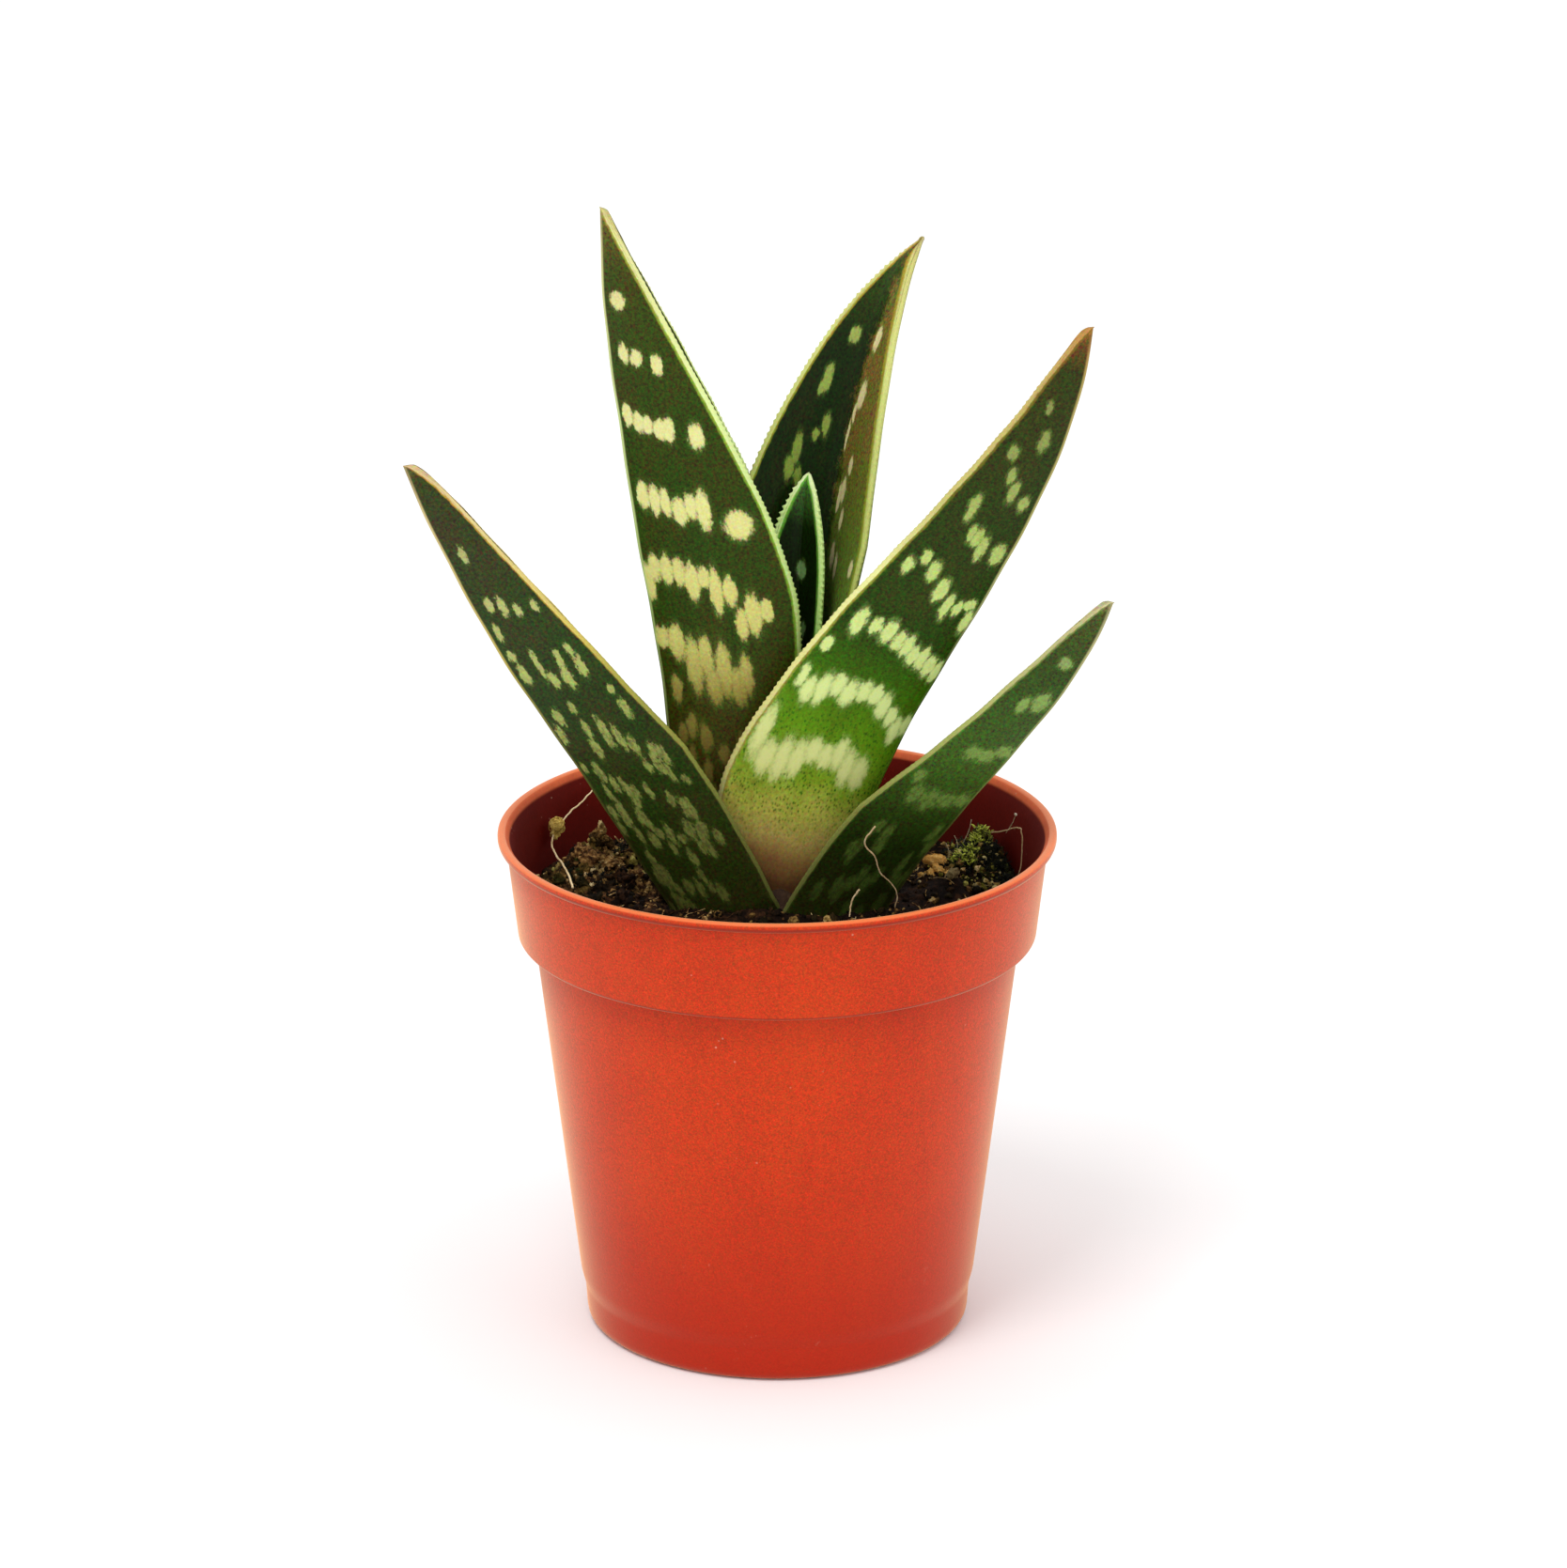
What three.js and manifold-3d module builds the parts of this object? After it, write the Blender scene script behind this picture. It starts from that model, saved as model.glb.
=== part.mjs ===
// A young tiger aloe in a round nursery pot: six keeled, toothed leaves on a short stem,
// standing in peat soil with a bark chip, two pale grains and a few loose roots.
// Millimetres, +Z up. The origin is on the pot's axis, on the surface that it stands on.
import * as THREE from "three";
import { mergeVertices } from "three/addons/utils/BufferGeometryUtils.js";
import Module from "manifold-3d";

const wasm = await Module();
wasm.setup();

// ---------------------------------------------------------------- driving dimensions

const GAP = 0.3; // clearance between neighbouring pieces

const POT = {
  height: 83.2,
  wall: 1.2,
  floor: 1.6, // thickness of the raised floor
  fillet: 1, // inside, between floor and wall
  lip: { radius: 45, thick: 1.8, tall: 1.7, slope: 0.8, bevel: 0.4 }, // slope: height of its underside
  collar: { top: 43.6, bottom: 41.9, z: 66.8 }, // radii, and the height of its lower edge
  shoulder: { tall: 5, steps: 4, power: 1.7 }, // the flare from the body out to the collar
  body: { top: 38.7, bottom: 32.1, z: 8.2 },
  foot: { radius: 31.4, z: 5.8, corner: 1.8, ring: 3.4, flare: 0.3 },
  boss: { radius: 9, rise: 1.8, bevel: 0.8 }, // flat disc in the middle, and the channel round it
  drain: { count: 8, radius: 2.4, at: 18, sides: 12 },
  sides: 52,
};

const SOIL = {
  level: 70.2, // height of the surface at the wall
  crown: 1.6, // how much it rises towards the plant
  rings: 14,
  sides: 52,
  recess: 2, // the wall ring below the level of the surface
  grain: 0.35, // height of each of the waves that add up to lumps
  waves: 7,
  wavelength: [5, 11],
  clumps: [
    { at: [-29.5, 9], wide: 6.5, tall: 5.2 },
    { at: [-22, 20], wide: 6, tall: 3.4 },
    { at: [-30, -14], wide: 6, tall: 2.4 },
    { at: [32, 19], wide: 6, tall: 2.6 },
    { at: [27, 4], wide: 5, tall: 1.4 },
    { at: [6, 31], wide: 7, tall: 2.2 },
    { at: [24, -24], wide: 7, tall: 1.6 },
    { at: [-8, -31], wide: 7, tall: 1.2 },
  ],
};

// The stem is a lathe round an upright axis at [x, y], through [radius, z] points.
const STEM = {
  at: [0.5, -1.4],
  outline: [[0, 48], [5.2, 50], [6.4, 60], [6.2, 70], [5, 74], [4, 78], [2.6, 80], [0, 80.6]],
  sides: 20,
};

// Leaf angles are in degrees. azimuth is the way the leaf leans, at its foot and at its tip.
// lean is the angle from upright at the foot, the middle and the tip. roll turns the blade about
// its length, at the foot and at the tip. fold is the angle of each half of the blade to the
// leaf's middle plane, at the foot, the middle and the tip. half is the width of one half of the
// blade where it is widest, peak the share of the length where that is, foot the share of it left
// at the foot, and taper the two powers of the curve to the tip. thick is the depth of flesh
// behind the channel, and bulge how far each outer side swells, as a share of its width.
const LEAVES = {
  leaf_young_centre: {
    base: [2.8, -0.6, 85.0], azimuth: [69.7, 69.2], length: 57.0,
    lean: [5.5, 5.3, 12.3], roll: [0.3, -5.1],
    fold: [13.1, 41.5, 48.7], half: 7.5, peak: 0.53, foot: 0.42,
    taper: [2.13, 0.58], thick: 2.4, bulge: 0.05,
  },
  leaf_back_right: {
    base: [3.6, 1.7, 80.2], azimuth: [57.2, 44.9], length: 101.1,
    lean: [17.8, 11.5, 44.6], roll: [-9.0, -17.7],
    fold: [14.5, 39.6, 49.9], half: 18.8, peak: 0.51, foot: 0.31,
    taper: [1.04, 0.92], thick: 3.6, bulge: 0.05,
  },
  leaf_tall_left: {
    base: [-16.5, -3.9, 77.8], azimuth: [190.2, 187.4], length: 111.1,
    lean: [-0.5, 9.1, -0.5], roll: [0.1, 1.0],
    fold: [9.1, 23.8, 42.8], half: 24.1, peak: 0.4, foot: 0.42,
    taper: [1.59, 0.87], thick: 5, bulge: 0.06,
  },
  leaf_front_right: {
    base: [12.3, -5.4, 74.6], azimuth: [-19.9, -17.9], length: 105.9,
    lean: [9.2, 29.0, 5.7], roll: [4.0, -0.5],
    fold: [22.8, 34.4, 31.0], half: 25.2, peak: 0.14, foot: 0.82,
    taper: [1.33, 0.69], thick: 5, bulge: 0.06,
  },
  leaf_low_left: {
    base: [-16.2, -4.1, 67.5], azimuth: [196.5, 197.9], length: 93.3,
    lean: [26.9, 31.1, 18.9], roll: [-2.0, 2.1],
    fold: [30.0, 31.2, 25.9], half: 18.6, peak: 0.32, foot: 0.95,
    taper: [1.0, 0.59], thick: 5.5, bulge: 0.06,
  },
  leaf_low_right: {
    base: [15.4, -4.9, 65.1], azimuth: [-17.4, -23.1], length: 74.5,
    lean: [22.7, 38.3, 20.3], roll: [3.3, 4.2],
    fold: [30.2, 46.0, 27.7], half: 16.7, peak: 0.31, foot: 0.98,
    taper: [0.91, 0.63], thick: 5.5, bulge: 0.06,
  },
};
const LEAF = {
  step: 2.2, // station spacing
  edge: 0.9, // thickness of the margin
  tooth: 0.5, // height of a margin tooth
  toothFade: 6, // how fast the teeth grow from the foot and from the tip
  ribs: [0.3, 0.65], // where the section's other outer points are, as shares of its half width
  slim: 0.9, // most of the blade's depth that the flesh may fill
  thinning: 0.6, // share of the flesh's depth that is lost by the tip
  sink: 7, // how far the foot goes on below its first station
  gather: 0.3, // share by which the foot draws in to the stem there
  footSteps: 3,
};
// Each leaf is cut clear of those before it, from the outermost inwards.
const OUTER_FIRST = [
  "leaf_low_left", "leaf_low_right", "leaf_front_right",
  "leaf_tall_left", "leaf_back_right", "leaf_young_centre",
];

const ROOT = { radius: 0.35, sides: 5, step: 1.5 };
const ROOTS = {
  root_left: [
    [-32.9, 1.9, 73.7], [-33.9, 7, 74.8], [-35, 13, 74.3], [-36.2, 16.6, 75.2], [-35.4, 18.4, 77],
    [-33.8, 22.6, 78.4], [-32, 25, 79.2], [-30.3, 27.6, 80.4],
  ],
  root_right: [
    [33.6, 20.2, 75.4], [36.2, 17.6, 76.6], [39, 12.2, 79.2], [39.7, 11, 78.6], [39.7, 9.6, 75], [39.2, 8.6, 72.2],
  ],
  root_front: [
    [15.6, -15, 89], [13.9, -13.9, 85.8], [15.5, -12.6, 83.1], [16.5, -11, 79.6], [18, -9.5, 77.7],
    [19.2, -8.3, 75.1], [18.9, -7.7, 72.6],
  ],
  root_short: [[13.2, -10.8, 76.8], [12.1, -10.7, 75.2], [11.7, -11.1, 73.4], [11.6, -11.5, 72.4]],
};
const KNOT = { at: [-35.4, 18.4, 77], radius: 1.5 }; // the mossy knot in the left root
const CHIP = {
  at: [25.6, 9.5],
  outline: [[-2.1, -0.7], [-0.4, -1.5], [1.9, -1], [2.2, 0.5], [0.3, 1.4], [-1.8, 0.9]],
  thick: 2.1,
  turn: 24,
  reach: 2.2,
};
const GRAINS = {
  grain_large: { at: [28.4, 3.6], size: [1.1, 0.95, 0.8] },
  grain_small: { at: [32.2, 3.4], size: [0.8, 0.75, 0.6] },
};

const COLOUR = {
  pot: 0xcf4625,
  soil: 0x1c1510,
  stem: 0x8a7358,
  leaf: 0x34502a,
  youngLeaf: 0x2c5a24,
  chip: 0x9b7a50,
  grain: 0xc9bfae,
  root: 0xb59a6a,
};
const SEED = 7;

// ---------------------------------------------------------------- helpers

const rad = THREE.MathUtils.degToRad;
const lerp = THREE.MathUtils.lerp;
const clamp = THREE.MathUtils.clamp;

// Seeded random numbers from 0 to 1.
function randomiser(seed) {
  let state = seed;
  return () => {
    state = (state + 0x6d2b79f5) | 0;
    let mixed = Math.imul(state ^ (state >>> 15), state | 1);
    mixed ^= mixed + Math.imul(mixed ^ (mixed >>> 7), mixed | 61);
    return ((mixed ^ (mixed >>> 14)) >>> 0) / 4294967296;
  };
}

// The value at t of the quadratic through three values at 0, a half and 1.
function through([start, middle, end], t) {
  return start * (1 - t) * (1 - 2 * t) + middle * 4 * t * (1 - t) + end * t * (2 * t - 1);
}

function solidOf(geometry) {
  const bare = geometry.clone();
  bare.deleteAttribute("normal");
  bare.deleteAttribute("uv");
  const merged = mergeVertices(bare, 1e-4);
  return new wasm.Manifold(
    new wasm.Mesh({
      numProp: 3,
      vertProperties: new Float32Array(merged.attributes.position.array),
      triVerts: new Uint32Array(merged.index.array),
    }),
  );
}

function geometryOf(solid) {
  const mesh = solid.getMesh();
  const geometry = new THREE.BufferGeometry();
  geometry.setAttribute("position", new THREE.BufferAttribute(mesh.vertProperties, 3));
  geometry.setIndex(new THREE.BufferAttribute(mesh.triVerts, 1));
  geometry.computeVertexNormals();
  return geometry;
}

// The largest body of a solid, without the scraps that a cut leaves.
function largest(solid) {
  return solid.decompose().reduce((a, b) => (b.volume() > a.volume() ? b : a));
}

// A closed geometry lofted through rings of points, from a flat first ring to a last point.
function loft(rings, firstCap, apex) {
  const around = rings[0].length;
  const points = [...rings.flat(), apex];
  const faces = [];
  for (let i = 0; i + 1 < rings.length; i++)
    for (let j = 0; j < around; j++) {
      const a = i * around + j;
      const b = i * around + ((j + 1) % around);
      faces.push(a, b, b + around, a, b + around, a + around);
    }
  const last = (rings.length - 1) * around;
  for (let j = 0; j < around; j++) faces.push(last + j, last + ((j + 1) % around), points.length - 1);
  faces.push(...firstCap.flat());
  const geometry = new THREE.BufferGeometry().setFromPoints(points);
  geometry.setIndex(faces);
  return geometry;
}

// ---------------------------------------------------------------- leaves

// The leaf's direction, inward direction and sideways direction at t.
function leafFrame(leaf, t) {
  const lean = rad(through(leaf.lean, t));
  const azimuth = rad(lerp(...leaf.azimuth, t));
  const along = new THREE.Vector3(
    Math.sin(lean) * Math.cos(azimuth),
    Math.sin(lean) * Math.sin(azimuth),
    Math.cos(lean),
  );
  const inward = new THREE.Vector3(
    -Math.cos(lean) * Math.cos(azimuth),
    -Math.cos(lean) * Math.sin(azimuth),
    Math.sin(lean),
  ).applyAxisAngle(along, rad(-lerp(...leaf.roll, t)));
  return { along, inward, side: inward.clone().cross(along) };
}

function toothHeight(t) {
  return LEAF.tooth * Math.min(1, LEAF.toothFade * t, LEAF.toothFade * (1 - t));
}

function halfWidth(leaf, t) {
  const grown = leaf.foot + (1 - leaf.foot) * Math.sin((Math.PI / 2) * Math.min(t / leaf.peak, 1));
  const past = clamp((t - leaf.peak) / (1 - leaf.peak), 0, 1);
  const [power, root] = leaf.taper;
  return leaf.half * grown * Math.max(1 - past ** power, 0) ** root;
}

// One section of the leaf, in the plane of its inward (x) and sideways (y) directions, with the
// keel at the origin. grow thickens it all round, for cutting clearance.
function leafSection(leaf, t, tooth, grow) {
  const fold = rad(through(leaf.fold, t));
  const half = halfWidth(leaf, t) + tooth + grow;
  const depth = leaf.thick * (1 - LEAF.thinning * t);
  const thick = Math.min(depth, half * Math.cos(fold) * LEAF.slim) + grow;
  const edge = Math.min(LEAF.edge, half * Math.sin(fold)) + 2 * grow;
  const outer = (share, side) => {
    const out = leaf.bulge * half * Math.sin(Math.PI * share) + grow;
    return new THREE.Vector2(
      half * share * Math.cos(fold) - out * Math.sin(fold),
      side * (half * share * Math.sin(fold) + out * Math.cos(fold)),
    );
  };
  const inner = (side) => outer(1, side).add(
    new THREE.Vector2(edge * Math.sin(fold), -side * edge * Math.cos(fold)));
  const valley = new THREE.Vector2(thick, 0);
  const keel = new THREE.Vector2(-2 * grow, 0);
  const midway = (side) => inner(side).lerp(valley, 0.5);
  const [near, far] = LEAF.ribs;
  return [
    keel, outer(near, 1), outer(far, 1), outer(1, 1), inner(1), midway(1),
    valley, midway(-1), inner(-1), outer(1, -1), outer(far, -1), outer(near, -1),
  ];
}

// The foot's ring at depth u, from 0 at the first station to 1: sunk along the leaf, and drawn in
// towards the stem's axis.
function footRing(ring, along, u) {
  const [x, y] = STEM.at;
  const draw = LEAF.gather * u;
  return ring.map((point) => {
    const sunk = point.clone().addScaledVector(along, -LEAF.sink * u);
    return sunk.set(lerp(sunk.x, x, draw), lerp(sunk.y, y, draw), sunk.z);
  });
}

// A leaf from below the soil to its tip, with a tooth at every other station.
function leafSolid(leaf, grow = 0) {
  const steps = Math.round(leaf.length / LEAF.step);
  const centre = new THREE.Vector3(...leaf.base);
  const rings = [];
  for (let i = 0; i < steps; i++) {
    const t = i / steps;
    const { inward, side } = leafFrame(leaf, t);
    const tooth = i % 2 && grow === 0 ? toothHeight(t) : 0;
    rings.push(
      leafSection(leaf, t, tooth, grow).map((p) =>
        centre.clone().addScaledVector(inward, p.x).addScaledVector(side, p.y)),
    );
    centre.addScaledVector(leafFrame(leaf, (i + 0.5) / steps).along, leaf.length / steps);
  }
  const { along } = leafFrame(leaf, 0);
  const [first] = rings;
  for (let k = 1; k <= LEAF.footSteps; k++) rings.unshift(footRing(first, along, k / LEAF.footSteps));
  const cap = THREE.ShapeUtils.triangulateShape(leafSection(leaf, 0, 0, grow), []);
  return solidOf(loft(rings, cap, centre));
}

// ---------------------------------------------------------------- pot

// Profile points are Vector2 of radius and height.
const at = (radius, z) => new THREE.Vector2(radius, z);

// Points on a quarter circle in the profile, with its centre, its radius and its angles in degrees.
function corner(centre, radius, from, to, steps) {
  return Array.from({ length: steps + 1 }, (_, i) => {
    const angle = rad(lerp(from, to, i / steps));
    return at(centre.x + radius * Math.cos(angle), centre.y + radius * Math.sin(angle));
  });
}

// The flare from the body out to the collar, moved in by the wall for the inside.
function shoulder(inset) {
  const { tall, steps, power } = POT.shoulder;
  const foot = POT.collar.z - tall;
  return Array.from({ length: steps + 1 }, (_, i) => {
    const s = i / steps;
    return at(lerp(POT.body.top, POT.collar.bottom, s ** power) - inset, lerp(foot, POT.collar.z, s));
  });
}

function potInside() {
  const { wall, lip, collar, body, foot, boss, floor, fillet } = POT;
  const top = boss.rise + floor;
  return [
    at(0, top),
    at(foot.radius - wall - fillet, top),
    at(foot.radius - wall, top + fillet),
    at(body.bottom - wall, body.z),
    ...shoulder(wall),
    at(collar.top - wall, POT.height - lip.tall - lip.slope),
    at(lip.radius - lip.thick, POT.height - lip.bevel),
    at(lip.radius - lip.thick + lip.bevel, POT.height),
  ];
}

function potOutside() {
  const { lip, collar, body, foot, boss } = POT;
  const inner = foot.radius - foot.corner - foot.ring;
  return [
    at(0, 0),
    at(boss.radius, 0),
    at(boss.radius + boss.bevel, boss.rise),
    at(inner - boss.bevel, boss.rise),
    at(inner, 0),
    ...corner(at(foot.radius - foot.corner - foot.flare, foot.corner), foot.corner, -90, 0, 3),
    at(foot.radius, foot.z),
    at(body.bottom, body.z),
    ...shoulder(0),
    at(collar.top, POT.height - lip.tall - lip.slope),
    at(lip.radius, POT.height - lip.tall),
    at(lip.radius, POT.height - lip.bevel),
    at(lip.radius - lip.bevel, POT.height),
  ];
}

function potSolid() {
  const profile = [...potOutside(), ...potInside().reverse()];
  let pot = solidOf(new THREE.LatheGeometry(profile, POT.sides).rotateX(Math.PI / 2));
  const { count, radius, at: reach, sides } = POT.drain;
  for (let i = 0; i < count; i++) {
    const hole = new THREE.CylinderGeometry(radius, radius, 4 * POT.floor, sides);
    hole.rotateX(Math.PI / 2);
    hole.translate(reach, 0, POT.boss.rise + POT.floor / 2);
    hole.rotateZ((2 * Math.PI * i) / count);
    pot = pot.subtract(solidOf(hole));
  }
  return pot;
}

// ---------------------------------------------------------------- soil

const random = randomiser(SEED);
const waves = Array.from({ length: SOIL.waves }, () => {
  const heading = 2 * Math.PI * random();
  const number = (2 * Math.PI) / lerp(...SOIL.wavelength, random());
  return { x: number * Math.cos(heading), y: number * Math.sin(heading), phase: 2 * Math.PI * random() };
});

// The height of the soil's surface.
function soilHeight(x, y) {
  let z = SOIL.level + SOIL.crown * (1 - (x * x + y * y) / POT.collar.bottom ** 2);
  for (const { at: [cx, cy], wide, tall } of SOIL.clumps)
    z += tall * Math.exp(-((x - cx) ** 2 + (y - cy) ** 2) / (wide * wide));
  for (const wave of waves) z += SOIL.grain * Math.sin(wave.x * x + wave.y * y + wave.phase);
  return z;
}

// The soil fills the pot, a gap clear of its wall, up to a lumpy surface raised by lift.
function soilSolid(lift) {
  const { rings, sides } = SOIL;
  const round = (radius, z) => Array.from({ length: sides }, (_, j) => {
    const angle = (2 * Math.PI * j) / sides;
    return new THREE.Vector3(radius * Math.cos(angle), radius * Math.sin(angle), z);
  });
  const wall = potInside().slice(1, -2).map((p) => at(p.x - GAP, p.y + GAP));
  const below = wall.filter((p) => p.y < SOIL.level - SOIL.recess);
  const edge = below.at(-1).x;
  const surface = Array.from({ length: rings }, (_, k) =>
    round((edge * (rings - k)) / rings, 0).map((p) => p.setZ(soilHeight(p.x, p.y) + lift)));
  const all = [...below.map((p) => round(p.x, p.y)), ...surface];
  const middle = new THREE.Vector3(0, 0, soilHeight(0, 0) + lift);
  const outline = round(1, 0).map((p) => new THREE.Vector2(p.x, p.y));
  const cap = THREE.ShapeUtils.triangulateShape(outline, []).map(([a, b, c]) => [a, c, b]);
  return solidOf(loft(all, cap, middle));
}

// ---------------------------------------------------------------- stem and loose pieces

// The stem, or with grow the room that it needs.
function stemSolid(grow) {
  const last = STEM.outline.length - 1;
  const profile = STEM.outline.map(([radius, z], i) => {
    if (i === 0) return at(0, z - grow);
    return i === last ? at(0, z + grow) : at(radius + grow, z);
  });
  const lathe = new THREE.LatheGeometry(profile, STEM.sides).rotateX(Math.PI / 2);
  return solidOf(lathe.translate(...STEM.at, 0));
}

// The lowest height at which a piece of this reach lies clear of the soil.
function seat(x, y, reach) {
  const heights = [soilHeight(x, y)];
  for (let angle = 0; angle < 2 * Math.PI; angle += Math.PI / 4)
    heights.push(soilHeight(x + reach * Math.cos(angle), y + reach * Math.sin(angle)));
  return Math.max(...heights) + GAP;
}

function chipSolid() {
  const shape = new THREE.Shape(CHIP.outline.map(([x, y]) => new THREE.Vector2(x, y)));
  const slab = new THREE.ExtrudeGeometry(shape, { depth: CHIP.thick, bevelEnabled: false });
  slab.rotateZ(rad(CHIP.turn)).translate(...CHIP.at, seat(...CHIP.at, CHIP.reach));
  return solidOf(slab);
}

function grainSolid({ at: [x, y], size }) {
  const grain = new THREE.IcosahedronGeometry(1, 1).scale(...size);
  return solidOf(grain.translate(x, y, seat(x, y, size[0]) + size[2]));
}

// A loose root, through points by hand.
function rootSolid(points) {
  const path = new THREE.CatmullRomCurve3(points.map((p) => new THREE.Vector3(...p)));
  const round = Array.from({ length: ROOT.sides }, (_, i) => {
    const angle = (2 * Math.PI * i) / ROOT.sides;
    return new THREE.Vector2(ROOT.radius * Math.cos(angle), ROOT.radius * Math.sin(angle));
  });
  const steps = Math.round(path.getLength() / ROOT.step);
  return solidOf(new THREE.ExtrudeGeometry(new THREE.Shape(round), { steps, extrudePath: path }));
}

function knotSolid() {
  const knot = new THREE.IcosahedronGeometry(KNOT.radius, 1);
  return solidOf(knot.translate(...KNOT.at));
}

// ---------------------------------------------------------------- the part

const group = new THREE.Group();

function addPiece(name, solid, colour, roughness) {
  const material = new THREE.MeshStandardMaterial({ color: colour, roughness, metalness: 0 });
  const mesh = new THREE.Mesh(geometryOf(solid), material);
  mesh.name = name;
  group.add(mesh);
}

const stemRoom = stemSolid(GAP);
addPiece("pot", potSolid(), COLOUR.pot, 0.35);
addPiece("soil", soilSolid(0).subtract(stemRoom), COLOUR.soil, 0.95);
addPiece("stem", stemSolid(0), COLOUR.stem, 0.7);

let taken = soilSolid(GAP).add(stemRoom);
for (const name of OUTER_FIRST) {
  const leaf = LEAVES[name];
  addPiece(name, largest(leafSolid(leaf).subtract(taken)), COLOUR.leaf, 0.45);
  taken = taken.add(leafSolid(leaf, GAP));
}

addPiece("bark_chip", chipSolid(), COLOUR.chip, 0.85);
for (const [name, grain] of Object.entries(GRAINS)) addPiece(name, grainSolid(grain), COLOUR.grain, 0.8);
for (const [name, points] of Object.entries(ROOTS)) {
  const root = rootSolid(points);
  addPiece(name, name === "root_left" ? root.add(knotSolid()) : root, COLOUR.root, 0.8);
}

export default group;
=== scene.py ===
"""The looks of a young tiger aloe in a terracotta-coloured nursery pot.

Lengths in the tables and in the mesh code are millimetres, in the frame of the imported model: +Z up,
the origin on the pot's axis at the surface that it stands on. They become metres in one place, where
a mesh is made. Colours are written as sRGB, from 0 to 255.
"""

import functools
import math
import random

import bpy
import numpy as np
from bpy.props import FloatProperty, FloatVectorProperty, IntProperty, PointerProperty
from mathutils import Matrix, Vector, noise


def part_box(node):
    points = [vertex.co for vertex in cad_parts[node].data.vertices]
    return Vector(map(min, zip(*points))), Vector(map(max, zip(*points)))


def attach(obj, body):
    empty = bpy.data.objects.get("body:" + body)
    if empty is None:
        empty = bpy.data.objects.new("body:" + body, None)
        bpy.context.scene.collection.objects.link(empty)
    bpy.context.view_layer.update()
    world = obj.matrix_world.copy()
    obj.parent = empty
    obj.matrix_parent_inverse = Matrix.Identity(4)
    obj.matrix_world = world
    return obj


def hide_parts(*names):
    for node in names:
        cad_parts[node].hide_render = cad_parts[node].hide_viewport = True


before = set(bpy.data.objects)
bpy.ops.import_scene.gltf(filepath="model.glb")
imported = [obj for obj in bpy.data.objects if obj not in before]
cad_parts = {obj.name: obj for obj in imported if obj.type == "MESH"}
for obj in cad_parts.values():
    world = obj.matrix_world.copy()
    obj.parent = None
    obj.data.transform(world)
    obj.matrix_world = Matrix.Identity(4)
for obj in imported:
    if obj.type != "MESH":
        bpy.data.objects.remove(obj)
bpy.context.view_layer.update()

bl_info = {
    "name": "Potted Tiger Aloe",
    "version": (1, 0, 0),
    "blender": (4, 5, 0),
    "location": "3D View > Sidebar > Aloe",
    "description": "Builds a young tiger aloe in a nursery pot, piece by piece",
    "category": "Add Mesh",
}

MM = 0.001
BODY = "root"


def node_box(node):
    """The lowest and highest corners of a plain solid, in millimetres."""
    return [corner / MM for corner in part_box(node)]



# ---------------------------------------------------------------- the leaves' shapes

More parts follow.
